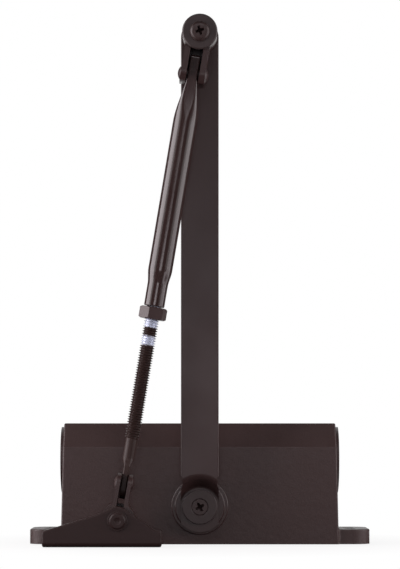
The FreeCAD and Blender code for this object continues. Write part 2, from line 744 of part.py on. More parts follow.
def make_pinion_shaft():
    pitch = value(PITCH_RADIUS)
    root = value(f"{PITCH_RADIUS} - {TOOTH_ROOT}")
    count = int(value("dims.tooth_count"))
    width = value("dims.gear_width")
    journal = value("dims.journal_radius")
    face = value("dims.body_depth / 2")
    near_end = face + value(f"{HUB_TOP} - dims.level_gap / 2")
    far_end = face + value("dims.spindle_reach")
    near_square = face + value("dims.hub_gap - dims.spindle_shoulder")
    far_square = face + value("dims.spindle_shoulder")
    axis = Vector(0, 1, 0)
    blank = Part.makeCylinder(root, width, Vector(0, -width / 2, 0), axis)
    thickness = value("pi * dims.tooth_module / 2 - dims.backlash")
    tooth = gear_tooth(pitch, value(TIP_RADIUS), root - value("dims.tooth_root_overlap"),
                       math.radians(value("dims.pressure_angle")), thickness, width)
    pieces = []
    for index in range(count):
        copy = tooth.copy()
        copy.rotate(Vector(), axis, index * 360 / count)
        pieces.append(copy)
    pieces.append(Part.makeCylinder(journal, near_square + far_square,
                                    Vector(0, -near_square, 0), axis))
    shoulder_end = value(f"{CAP_INNER} - dims.gear_side_gap")
    pieces.append(Part.makeCylinder(value("dims.shoulder_radius"), shoulder_end,
                                    Vector(0, -shoulder_end, 0), axis))
    flats = value("dims.spindle_flats")
    square = Part.makeBox(flats, near_end + far_end, flats,
                          Vector(-flats / 2, -near_end, -flats / 2))
    stub = Part.makeCylinder(journal, near_end + far_end, Vector(0, -near_end, 0), axis)
    pieces.append(square.common(stub))
    hole = Part.makeCylinder(value("dims.arm_screw_radius + dims.assembly_gap"),
                             value("dims.arm_screw_length"), Vector(0, -near_end, 0), axis)
    item = doc.addObject("Part::Feature", "pinion_shaft")
    item.Shape = blank.fuse(pieces).cut(hole).removeSplitter()
    place(item, Rotation(), "0", "0", "dims.pinion_height")
    return node(item, "pinion_shaft")


# Piston with the rack on its underside, its ring and its check valve
def make_piston():
    body = new_body("piston_body")
    length = f"(dims.piston_spring_end + {PISTON_END})"
    barrel = circle(body, "piston_outline", "YZ_Plane", PISTON_RADIUS, "0",
                    BORE_HEIGHT, "-dims.piston_spring_end")
    pad(body, "piston_barrel", barrel, length)
    below = f"({BORE_HEIGHT} - {PISTON_RADIUS} - 1)"
    flat = outline(body, "rack_flat_outline", "XZ_Plane", [
        ("-dims.piston_spring_end - 1", below),
        (HEAD_START, below),
        (HEAD_START, RACK_TIPS),
        ("-dims.piston_spring_end - 1", RACK_TIPS),
    ])
    cut(body, "rack_flat", flat, "3 * dims.bore_radius", symmetric=True)
    slope = "tan(dims.pressure_angle * 1 deg)"
    half = "(pi * dims.tooth_module / 4 + dims.backlash / 2)"
    wide = f"({half} + dims.rack_addendum * {slope})"
    narrow = f"({half} - {TOOTH_ROOT} * {slope})"
    first = "(-dims.rack_spaces_before * pi * dims.tooth_module)"
    space = outline(body, "rack_space_outline", "XZ_Plane", [
        (f"{first} - {wide}", RACK_TIPS),
        (f"{first} + {wide}", RACK_TIPS),
        (f"{first} + {narrow}", RACK_ROOTS),
        (f"{first} - {narrow}", RACK_ROOTS),
    ])
    tooth_space = cut(body, "rack_space", space, "3 * dims.bore_radius", symmetric=True)
    pattern = body.newObject("PartDesign::LinearPattern", "rack_spaces_row")
    pattern.Originals = [tooth_space]
    x_axis = [part for part in body.Origin.OriginFeatures if part.Role == "X_Axis"][0]
    pattern.Direction = (x_axis, [""])
    pattern.Mode = "Spacing"
    pattern.setExpression("Offset", "pi * dims.tooth_module")
    pattern.setExpression("Occurrences", "dims.rack_spaces")
    body.Tip = pattern
    bored(body, "spring_pocket", "dims.spring_pocket_radius",
          "dims.piston_spring_end + dims.spring_pocket_end + 1", HOLE_ALONG_X,
          "-dims.piston_spring_end - 1", "0", BORE_HEIGHT)
    bored(body, "check_chamber", "dims.valve_chamber_radius",
          "dims.valve_chamber_depth + 1", HOLE_ALONG_X,
          f"{PISTON_END} - dims.valve_chamber_depth", "0", BORE_HEIGHT)
    bored(body, "check_passage", "dims.valve_passage_radius",
          f"{PISTON_END} - dims.spring_pocket_end", HOLE_ALONG_X,
          "dims.spring_pocket_end - 1", "0", BORE_HEIGHT)
    groove_profile = outline(body, "ring_groove_outline", "XZ_Plane", [
        (f"{RING_PLACE}", f"{BORE_HEIGHT} + {PISTON_RADIUS} - dims.piston_ring_depth"),
        (f"{RING_PLACE} + dims.piston_ring_width",
         f"{BORE_HEIGHT} + {PISTON_RADIUS} - dims.piston_ring_depth"),
        (f"{RING_PLACE} + dims.piston_ring_width", f"{BORE_HEIGHT} + {PISTON_RADIUS} + 1"),
        (f"{RING_PLACE}", f"{BORE_HEIGHT} + {PISTON_RADIUS} + 1"),
    ])
    axis_mark = value("dims.bore_radius")
    line = groove_profile.addGeometry(
        Part.LineSegment(Vector(0, value(BORE_HEIGHT), 0),
                         Vector(axis_mark, value(BORE_HEIGHT), 0)), True)
    groove_profile.addConstraint(Sketcher.Constraint("Horizontal", line))
    groove_profile.addConstraint(Sketcher.Constraint("DistanceX", -1, 1, line, 1, 0.0))
    groove_profile.addConstraint(Sketcher.Constraint("DistanceX", line, 1, line, 2, axis_mark))
    tie = groove_profile.addConstraint(
        Sketcher.Constraint("DistanceY", -1, 1, line, 1, value(BORE_HEIGHT)))
    groove_profile.setExpression(f"Constraints[{tie}]", BORE_HEIGHT)
    doc.recompute()
    before = body.Shape.Volume
    groove = body.newObject("PartDesign::Groove", "ring_groove")
    groove.Profile = groove_profile
    groove.ReferenceAxis = (groove_profile, ["Axis0"])
    groove.Angle = 360.0
    doc.recompute()
    assert body.Shape.Volume < before, "ring_groove cuts nothing"
    return node(body, "piston")


def make_piston_ring():
    gap = "dims.assembly_gap"
    inner = f"({PISTON_RADIUS} - dims.piston_ring_depth + {gap})"
    item = ring("piston_ring", inner, f"dims.bore_radius - {gap} / 2",
                f"{RING_PLACE} + {gap}", f"{RING_PLACE} + dims.piston_ring_width - {gap}",
                ALONG_X, "0", "0", BORE_HEIGHT)
    return node(item, "piston_ring")


def make_check_valve():
    seat = f"({PISTON_END} - dims.valve_chamber_depth)"
    rise = "sqrt(dims.check_ball_radius ^ 2 - dims.valve_passage_radius ^ 2)"
    ball = doc.addObject("Part::Sphere", "check_ball")
    ball.setExpression("Radius", "dims.check_ball_radius")
    place(ball, Rotation(), f"{seat} + {rise} + dims.assembly_gap", "0", BORE_HEIGHT)
    node(ball, "check_ball")
    retainer = ring("check_retainer", "dims.retainer_hole_radius",
                    "dims.valve_chamber_radius", "-dims.retainer_thickness", "0",
                    ALONG_X, PISTON_END, "0", BORE_HEIGHT)
    node(retainer, "check_retainer")


# Closing spring: one wire wound on biarcs, from the end plug into the piston
def biarc_edges(start, start_tangent, end, end_tangent):
    """Two arcs that leave and arrive along the given unit tangents."""
    chord = end - start
    both = start_tangent + end_tangent
    factor = 2 * (1 - start_tangent.dot(end_tangent))
    across = chord.dot(both)
    reach = (-across + math.sqrt(across * across + factor * chord.dot(chord))) / factor
    middle = (start + start_tangent * reach + end - end_tangent * reach) * 0.5

    def arc(first, tangent, last):
        span = last - first
        unit = Vector(span).normalize()
        inward = tangent - unit * tangent.dot(unit)
        bend = math.atan2(inward.Length, tangent.dot(unit))
        sagitta = span.Length / 2 * math.tan(bend / 2)
        top = (first + last) * 0.5 + Vector(inward).normalize() * sagitta
        return Part.Arc(first, top, last).toShape()

    second = arc(end, end_tangent * -1, middle)
    return [arc(start, start_tangent, middle), second]


def make_spring():
    mean = value("dims.spring_mean_radius")
    wire = value("dims.spring_wire_radius")
    turns = int(value("dims.spring_turns"))
    seat = -value(PLUG_FACE) + wire + value("dims.assembly_gap")
    length = value("dims.spring_pocket_end") - wire - value("dims.assembly_gap") - seat
    quarter = length / (4 * turns)
    gap = length / turns - 2 * wire
    print(f"closing_spring: least gap between turns {gap:.2f} mm")

    def point(step):
        angle = step * math.pi / 2
        return Vector(seat + quarter * step, mean * math.sin(angle), mean * math.cos(angle))

    def tangent(step):
        angle = step * math.pi / 2
        run = Vector(quarter / (math.pi / 2), mean * math.cos(angle), -mean * math.sin(angle))
        return run.normalize()

    edges = []
    for step in range(4 * turns):
        edges += biarc_edges(point(step), tangent(step), point(step + 1), tangent(step + 1))
    spine = Part.Wire(Part.__sortEdges__(edges))
    section = Part.Wire(Part.makeCircle(wire, point(0), tangent(0)))
    shell = Part.BRepOffsetAPI.MakePipeShell(spine)
    shell.add(section)
    shell.build()
    shell.makeSolid()
    item = doc.addObject("Part::Feature", "closing_spring")
    item.Shape = shell.shape()
    place(item, Rotation(), "0", "0", BORE_HEIGHT)
    return node(item, "closing_spring")


# Regulating valve screws
def make_valves():
    for name, across, port in VALVES:
        groove = "(dims.valve_radius - 2 * dims.valve_ring_wire_radius - dims.assembly_gap)"
        low = "(dims.valve_tip_length + dims.valve_length / 2)"
        high = f"({low} + 2 * dims.valve_ring_wire_radius + 2 * dims.assembly_gap)"
        top = "(dims.valve_tip_length + dims.valve_length)"
        screw = turned(f"{name}_screw", [
            ("0", "0"),
            ("dims.valve_tip_radius / 2", "0"),
            ("dims.valve_tip_radius", "dims.valve_tip_length"),
            ("dims.valve_radius", "dims.valve_tip_length"),
            ("dims.valve_radius", low),
            (groove, low),
            (groove, high),
            ("dims.valve_radius", high),
            ("dims.valve_radius", top),
            ("0", top),
        ], ALONG_X, VALVE_DEEP, across, "dims.valve_height")
        slot = outline(screw, f"{name}_slot_outline", "XY_Plane", [
            ("-2 * dims.valve_radius", f"{top} - dims.valve_slot_depth"),
            ("2 * dims.valve_radius", f"{top} - dims.valve_slot_depth"),
            ("2 * dims.valve_radius", f"{top} + 1"),
            ("-2 * dims.valve_radius", f"{top} + 1"),
        ])
        cut(screw, f"{name}_slot", slot, "dims.valve_slot_width", symmetric=True)
        node(screw, name)
        centre = f"{VALVE_DEEP} + ({low} + {high}) / 2"
        make_seal_ring(f"{name}_ring", "dims.valve_radius - dims.valve_ring_wire_radius",
                       "dims.valve_ring_wire_radius", HOLE_ALONG_X, centre, across,
                       "dims.valve_height")


# Main arm: a flat bar, dished down to the pinion
def make_main_arm():
    reach = "(dims.arm_centres + dims.arm_width)"
    half_thickness = "dims.arm_thickness / 2"
    form = turned("main_arm_form", [
        ("0", HUB_LOW),
        (f"{FOLD_LOW} + {half_thickness}", HUB_LOW),
        (f"{FOLD_TOP} + {half_thickness}", ARM_LOW),
        (reach, ARM_LOW),
        (reach, ARM_TOP),
        (FOLD_TOP, ARM_TOP),
        (FOLD_LOW, HUB_TOP),
        ("0", HUB_TOP),
    ], TO_VIEWER, "0", FACE, "dims.pinion_height")
    depth = f"({ARM_TOP} + 2)"
    front = f"{FACE} - {ARM_TOP} - 1"
    bar = box("arm_bar", ("dims.arm_width", depth, "dims.arm_centres"), Rotation(),
              "-dims.arm_width / 2", front, "dims.pinion_height")
    tip = cylinder("arm_tip", "dims.arm_width / 2", depth, HOLE_ALONG_Y, "0", front, ELBOW_Z)
    long_part = shared("arm_long_part", [form, fused("arm_plan", [bar, tip])])
    hub_block = box("arm_hub_block",
                    ("dims.arm_width", "dims.arm_thickness", ARM_HUB),
                    Rotation(), "-dims.arm_width / 2", f"{FACE} - {HUB_TOP}",
                    f"dims.pinion_height - {ARM_HUB}")
    hub_round = cylinder("arm_hub_round", ARM_HUB, depth, HOLE_ALONG_Y, "0",
                         front, "dims.pinion_height")
    hub_end = shared("arm_hub_end", [hub_block, hub_round])
    blank = fused("arm_blank", [long_part, hub_end])
    blank.Refine = True
    flats = "(dims.spindle_flats + 2 * dims.assembly_gap)"
    square = box("arm_square", (flats, depth, flats), Rotation(), f"-{flats} / 2", front,
                 f"dims.pinion_height - {flats} / 2")
    corner_round = cylinder("arm_square_round", "dims.journal_radius + dims.assembly_gap",
                            depth, HOLE_ALONG_Y, "0", front, "dims.pinion_height")
    spindle_hole = shared("arm_spindle_hole", [square, corner_round])
    bush_hole = cylinder("arm_bush_hole", "dims.bush_spigot_radius + dims.assembly_gap",
                         depth, HOLE_ALONG_Y, "0", front, ELBOW_Z)
    tools = [spindle_hole, bush_hole]
    for side, sign in (("left", "-1"), ("right", "1")):
        tools.append(cylinder(
            f"arm_pinch_{side}", "dims.pinch_radius", depth, HOLE_ALONG_Y,
            f"{sign} * (dims.arm_width / 2 - dims.pinch_depth + dims.pinch_radius)", front,
            f"dims.pinion_height + {FOLD_LOW} + dims.pinch_rise"))
    stamped = without("arm_stamped", blank, fused("arm_cuts", tools))
    doc.recompute()
    body = new_body("main_arm_body")
    body.BaseFeature = stamped
    doc.recompute()
    face = value(FACE)
    for name, radius, rim_radius, level in (
            ("fold_low", "dims.fold_low_round", FOLD_LOW, HUB_TOP),
            ("fold_top", "dims.fold_top_round", FOLD_TOP, ARM_TOP)):
        round_rim(body, name, radius, rim_radius, f"{FACE} - {level}")
    top = face - value(ARM_TOP)
    middle = value("dims.pinion_height") + 2 * value(FOLD_TOP)
    rounded(body, "arm_edges", "dims.arm_edge_radius",
            lambda edge: abs(edge.BoundBox.YMin - top) < NEAR
            and abs(edge.BoundBox.YMax - top) < NEAR and edge.BoundBox.ZMax > middle
            and edge.BoundBox.DiagonalLength > value("dims.arm_width"))
    return node(body, "main_arm")


def cross_recess(name, span, turn_name, x, level, z):
    """Tool for a cross recess, cut down from a level above the pinion face."""
    blades = []
    for index in range(2):
        angle = value(turn_name) + 90 * index
        turn = Rotation(Vector(0, 1, 0), -angle)
        blade = box(f"{name}_blade_{index}", (span, "dims.recess_depth", "dims.recess_width"),
                    Rotation(), f"-{span} / 2", "0", "-dims.recess_width / 2")
        holder = fused(f"{name}_holder_{index}", [blade, blade_core(name, index)])
        blades.append(place(holder, turn, x, f"{FACE} - {level}", z))
    return fused(f"{name}_cross", blades)


def blade_core(name, index):
    """Round middle of a cross recess."""
    return cylinder(f"{name}_core_{index}", "dims.recess_core_radius", "dims.recess_depth",
                    HOLE_ALONG_Y)


def make_arm_fixing():
    washer_top = f"({HUB_TOP} + dims.arm_washer_thickness)"
    head = "dims.arm_screw_head_radius"
    shank = "dims.arm_screw_radius"
    gap = "dims.assembly_gap"
    washer = turned("arm_washer", [
        (f"{shank} + {gap}", HUB_TOP),
        ("dims.arm_washer_radius", HUB_TOP),
        ("dims.arm_washer_radius", washer_top),
        (f"{head} + {gap}", washer_top),
        (f"{shank} + {gap}", f"{washer_top} - dims.arm_screw_cone"),
    ], TO_VIEWER, "0", FACE, "dims.pinion_height")
    round_rim(washer, "arm_washer_rim", "dims.arm_washer_edge_radius",
              "dims.arm_washer_radius", washer_top)
    node(washer, "arm_washer")
    end = f"({HUB_TOP} + dims.level_gap - dims.arm_screw_length)"
    blank = turned("arm_screw_blank", [
        ("0", end),
        (shank, end),
        (shank, f"{washer_top} - dims.arm_screw_cone"),
        (head, washer_top),
        ("0", washer_top),
    ], TO_VIEWER, "0", FACE, "dims.pinion_height")
    recess = cross_recess("arm_screw", "dims.recess_span", "dims.arm_screw_turn", "0",
                          washer_top, "dims.pinion_height")
    node(without("arm_screw_cut", blank, recess), "arm_screw")


# Elbow: post, wrapped strap, washer, screw and cross rivet
def make_elbow():
    gap = "dims.assembly_gap"
    bush = turned("elbow_bush", [
        ("dims.elbow_screw_radius + dims.assembly_gap", ARM_TOP),
        ("dims.elbow_screw_radius + dims.assembly_gap", COVER_LOW),
        ("dims.bush_radius", COVER_LOW),
        ("dims.bush_radius", ARM_TOP),
        ("dims.bush_spigot_radius", ARM_TOP),
        ("dims.bush_spigot_radius", ARM_LOW),
        ("dims.bush_head_radius", ARM_LOW),
        ("dims.bush_head_radius", f"{ARM_LOW} - dims.bush_head_thickness"),
        ("0", f"{ARM_LOW} - dims.bush_head_thickness"),
        ("0", ARM_TOP),
    ], TO_VIEWER, "0", FACE, ELBOW_Z)
    round_rim(bush, "bush_head_rim", "dims.bush_head_round", "dims.bush_head_radius",
              f"{ARM_LOW} - dims.bush_head_thickness")
    node(bush, "elbow_bush")
    top = f"({COVER_LOW} + dims.elbow_washer_thickness)"
    washer = turned("elbow_washer", [
        (f"dims.elbow_screw_radius + 2 * {gap}", COVER_LOW),
        ("dims.elbow_washer_radius", COVER_LOW),
        ("dims.elbow_washer_radius", f"{top} - dims.elbow_washer_bevel"),
        ("dims.elbow_washer_radius - dims.elbow_washer_bevel", top),
        (f"dims.elbow_screw_radius + 2 * {gap}", top),
    ], TO_VIEWER, "0", FACE, ELBOW_Z)
    node(washer, "elbow_washer")
    head = "dims.elbow_screw_head_radius"
    rise = "dims.elbow_screw_head_height"
    blank = turned("elbow_screw_blank", [
        ("0", f"{top} - dims.elbow_screw_length"),
        ("dims.elbow_screw_radius", f"{top} - dims.elbow_screw_length"),
        ("dims.elbow_screw_radius", top),
        (head, top),
        (head, f"{top} + {rise}"),
        ("0", f"{top} + {rise}"),
    ], TO_VIEWER, "0", FACE, ELBOW_Z)
    round_rim(blank, "elbow_screw_rim", "dims.elbow_screw_head_round", head, f"{top} + {rise}")
    recess = cross_recess("elbow_screw", "dims.recess_span", "dims.elbow_screw_turn", "0",
                          f"({top} + {rise})", ELBOW_Z)
    node(without("elbow_screw_cut", blank, recess), "elbow_screw")


def make_strap(label, hub_radius, wall, leg_wall, leg_gap, pin, leg_end, root, pin_radius):
    """Strip wrapped round a bush. Its own Z axis runs from the bush along the legs, X is
    across the legs, and Y, towards +Y of the model, is the width of the strip."""
    body = new_body(f"{label}_body")
    hub = circle(body, f"{label}_hub_outline", "XZ_Plane", f"{hub_radius} + {wall}")
    pad(body, f"{label}_hub", hub, "dims.strap_width", symmetric=True)
    outer = f"({leg_gap} / 2 + {leg_wall})"
    end = f"({pin} + {leg_end})"
    legs = outline(body, f"{label}_legs_outline", "XZ_Plane", [
        (f"-{outer}", "0"),
        (outer, "0"),
        (outer, end),
        (f"-{outer}", end),
    ])
    pad(body, f"{label}_legs", legs, "dims.strap_width", symmetric=True)
    wide = value(outer)
    hub_size = value(f"{hub_radius} + {wall}")
    crease = math.sqrt(hub_size ** 2 - wide ** 2)
    rounded(body, f"{label}_roots", root,
            lambda edge: along(edge, Vector(0, 1, 0)) and abs(edge.BoundBox.ZMax - crease) < NEAR)
    far = value(end)
    rounded(body, f"{label}_corners", "dims.strap_corner_radius",
            lambda edge: along(edge, Vector(1, 0, 0)) and abs(edge.BoundBox.ZMax - far) < NEAR)
    slot = outline(body, f"{label}_slot_outline", "XZ_Plane", [
        (f"-{leg_gap} / 2", "0"),
        (f"{leg_gap} / 2", "0"),
        (f"{leg_gap} / 2", f"{end} + 1"),
        (f"-{leg_gap} / 2", f"{end} + 1"),
    ])
    cut(body, f"{label}_slot", slot, "2 * dims.strap_width", symmetric=True)
    bored(body, f"{label}_eye", f"{hub_radius} + dims.running_fit", "2 * dims.strap_width",
          HOLE_ALONG_Y, "0", "-dims.strap_width", "0")
    bored(body, f"{label}_pin_hole", pin_radius, "2 * dims.strap_width", HOLE_ALONG_X,
          "-dims.strap_width", "0", pin)
    return body


def make_rivet(label, radius, head_radius, head_height, grip, x, z):
    """Domed rivet across the forearm: its own Y axis is the rivet's axis."""
    turn = FOREARM_TURN.multiply(ALONG_X)
    end = f"({grip} / 2 + {head_height})"
    corners = [
        ("0", f"-{end}"),
        (head_radius, f"-{end}"),
        (head_radius, f"-{grip} / 2"),
        (radius, f"-{grip} / 2"),
        (radius, f"{grip} / 2"),
        (head_radius, f"{grip} / 2"),
        (head_radius, end),
        ("0", end),
    ]
    rivet = turned(label, corners, turn, x, FOREARM_Y, z)
    for side, level in (("left", f"-{end}"), ("right", end)):
        round_rim(rivet, f"{label}_{side}_dome", "dims.rivet_head_round", head_radius, level)
    return node(rivet, label)


TOWARDS_SHOE = FOREARM_TURN.multiply(Rotation(Vector(0, 1, 0), 180))


def make_elbow_strap():
    strap = make_strap("elbow_strap", "dims.bush_radius", "dims.elbow_strap_thickness",
                       "dims.elbow_leg_thickness", "dims.elbow_leg_gap",
                       "dims.elbow_to_pin", "dims.elbow_leg_end", "dims.elbow_root_radius",
                       "dims.elbow_rivet_radius")
    node(place(strap, TOWARDS_SHOE, "0", FOREARM_Y, ELBOW_Z), "elbow_strap")
    make_rivet("elbow_cross_rivet", "dims.elbow_rivet_radius",
               "dims.elbow_rivet_head_radius", "dims.elbow_rivet_head_height",
               "(dims.elbow_leg_gap + 2 * dims.elbow_leg_thickness)",
               f"{REACH_X} * dims.elbow_to_pin", f"{ELBOW_Z} + {REACH_Z} * dims.elbow_to_pin")


# Forearm: flattened tube, nut and rod, measured along the forearm from the elbow's rivet
def section_wire(half_thickness, half_height, corner, place_along):
    """Slot-shaped section: straight sides across the thickness, round top and bottom."""
    straight = half_height - corner
    points = []
    for across, up, centre in ((1, 1, straight), (-1, -1, -straight)):
        points.append(Vector(across * half_thickness, place_along, -up * straight))
        points.append(Vector(across * half_thickness, place_along, centre))
        low = math.sqrt(0.5) * corner
        points.append(Vector(across * low, place_along, centre + up * low))
        points.append(Vector(0, place_along, up * half_height))
        points.append(Vector(-across * low, place_along, centre + up * low))
        points.append(Vector(-across * half_thickness, place_along, centre))
    edges = []
    for start in (0, 6):
        edges.append(Part.makeLine(points[start], points[start + 1]))
        edges.append(Part.Arc(points[start + 1], points[start + 2], points[start + 3]).toShape())
        edges.append(Part.Arc(points[start + 3], points[start + 4], points[start + 5]).toShape())
    return Part.Wire(Part.__sortEdges__(edges))


# Half angle, in degrees, of the arc of a round section that becomes a flat side
FLAT_ARC = 50


def round_wire(radius, place_along):
    """Circle cut into six arcs that match the slot-shaped section."""
    breaks = [-FLAT_ARC, FLAT_ARC, 90, 180 - FLAT_ARC, 180 + FLAT_ARC, 270, 360 - FLAT_ARC]

    def spot(degrees):
        angle = math.radians(degrees)
        return Vector(radius * math.cos(angle), place_along, radius * math.sin(angle))

    edges = []
    for first, last in zip(breaks[:-1], breaks[1:]):
        arc = Part.Arc(spot(first), spot((first + last) / 2), spot(last))
        edges.append(arc.toShape())
    return Part.Wire(Part.__sortEdges__(edges))


def make_forearm_tube():
    half = value("dims.blade_thickness") / 2
    high = value("dims.blade_height") / 2
    tip = -value("dims.blade_tip")
    blade_end = value("dims.blade_end")
    full = value("dims.tube_full_start")
    radius = value("dims.tube_radius")
    neck = value("dims.neck_radius")
    neck_start = value("dims.neck_start")
    neck_full = neck_start + value("dims.neck_cone_length")
    end = value("dims.neck_end")
    axis = Vector(0, 1, 0)
    blade = Part.Face(section_wire(half, high, half, tip)).extrude(axis * (blade_end - tip))
    corner = value("dims.strap_corner_radius")
    nose = Part.makeBox(4 * high, 4 * high, 2 * high, Vector(-2 * high, tip, -high))
    upright = [edge for edge in nose.Edges
               if along(edge, Vector(1, 0, 0)) and abs(edge.BoundBox.YMin - tip) < NEAR]
    blade = blade.common(nose.makeFillet(corner, upright))
    swell = Part.makeLoft([section_wire(half, high, half, blade_end),
                           round_wire(radius, full)], True, True)
    barrel = Part.makeCylinder(radius, neck_start - full, Vector(0, full, 0), axis)
    cone = Part.makeCone(radius, neck, neck_full - neck_start, Vector(0, neck_start, 0), axis)
    collar = Part.makeCylinder(neck, end - neck_full, Vector(0, neck_full, 0), axis)
    bore = Part.makeCylinder(value("dims.tube_bore_radius"),
                             neck_start - value("dims.tube_bore_start"),
                             Vector(0, value("dims.tube_bore_start"), 0), axis)
    thread = Part.makeCylinder(value("dims.thread_radius") + value("dims.running_fit"),
                               end - neck_start + 1, Vector(0, neck_start, 0), axis)
    rivet = Part.makeCylinder(value("dims.elbow_rivet_radius") + value("dims.running_fit"),
                              4 * high, Vector(-2 * high, 0, 0), Vector(1, 0, 0))
    shape = blade.fuse([swell, barrel, cone, collar]).cut([bore, thread, rivet])
    item = doc.addObject("Part::Feature", "forearm_tube")
    item.Shape = shape.removeSplitter()
    place(item, ALONG_FOREARM, f"{REACH_X} * dims.elbow_to_pin", FOREARM_Y,
          f"{ELBOW_Z} + {REACH_Z} * dims.elbow_to_pin")
    return node(item, "forearm_tube")


def forearm_point(distance):
    """Expressions of the point at a distance along the forearm from the elbow's rivet."""
    reach = f"(dims.elbow_to_pin + {distance})"
    return f"{REACH_X} * {reach}", FOREARM_Y, f"{ELBOW_Z} + {REACH_Z} * {reach}"


def make_lock_nut():
    body = new_body("lock_nut_body")
    blank = hexagon(body, "nut_outline", "dims.nut_flats", "XZ_Plane")
    pad(body, "nut_blank", blank, "dims.nut_thickness", reverse=True)
    bored(body, "nut_thread", "dims.thread_radius + dims.running_fit",
          "3 * dims.nut_thickness", HOLE_ALONG_Y, "0", "-dims.nut_thickness", "0")
    bevel = "dims.nut_bevel_height"
    rim = "(dims.nut_flats / 2 - dims.nut_bevel_inset)"
    corner = "(dims.nut_flats / 2 / cos(30 deg))"
    shape = turned("nut_bevels", [
        ("0", "0"),
        (rim, "0"),
        (corner, bevel),
        (corner, f"dims.nut_thickness - {bevel}"),
        (rim, "dims.nut_thickness"),
        ("0", "dims.nut_thickness"),
    ], ALONG_Y)
    item = shared("lock_nut_shape", [body, shape])
    turn = ALONG_FOREARM.multiply(Rotation(Vector(0, 1, 0), value("dims.nut_turn")))
    start = "(dims.neck_end + dims.nut_gap)"
    return node(place(item, turn, *forearm_point(start)), "lock_nut")


def make_threaded_rod():
    half = value("dims.rod_blade_thickness") / 2
    high = value("dims.rod_blade_height") / 2
    thread = value("dims.thread_radius")
    shank = value("dims.shank_radius")
    inner = value("dims.neck_end") - value("dims.rod_overlap")
    thread_end = value("dims.thread_end")
    shank_end = value("dims.shank_end")
    blade_start = value("dims.rod_blade_start")
    pin = value("dims.pin_to_pin")
    tip = pin + value("dims.rod_blade_tip")
    axis = Vector(0, 1, 0)
    screw = Part.makeCylinder(thread, thread_end - inner, Vector(0, inner, 0), axis)
    plain = Part.makeCylinder(shank, shank_end - thread_end, Vector(0, thread_end, 0), axis)
    flare = Part.makeLoft([round_wire(shank, shank_end),
                           section_wire(half, high, half, blade_start)], True, True)
    blade = Part.Face(section_wire(half, high, half, blade_start))
    blade = blade.extrude(axis * (tip - blade_start))
    hole = Part.makeCylinder(value("dims.shoe_rivet_pin_radius") + value("dims.running_fit"),
                             4 * high, Vector(-2 * high, pin, 0), Vector(1, 0, 0))
    item = doc.addObject("Part::Feature", "threaded_rod")
    item.Shape = screw.fuse([plain, flare, blade]).cut(hole).removeSplitter()
    place(item, ALONG_FOREARM, *forearm_point("0"))
    return node(item, "threaded_rod")


# Shoe strap and its cross rivet
def make_shoe_strap():
    strap = make_strap("shoe_strap", "dims.shoe_bush_radius", "dims.shoe_strap_thickness",
                       "dims.shoe_strap_thickness", "dims.shoe_leg_gap",
                       "dims.pin_to_shoe", "dims.shoe_leg_end", "dims.shoe_root_radius",
                       "dims.shoe_rivet_pin_radius")
    node(place(strap, FOREARM_TURN, SHOE_X, FOREARM_Y, SHOE_Z), "shoe_strap")
    make_rivet("shoe_cross_rivet", "dims.shoe_rivet_pin_radius",
               "dims.shoe_rivet_pin_head_radius", "dims.shoe_rivet_pin_head_height",
               "(dims.shoe_leg_gap + 2 * dims.shoe_strap_thickness)",
               forearm_point("dims.pin_to_pin")[0], forearm_point("dims.pin_to_pin")[2])


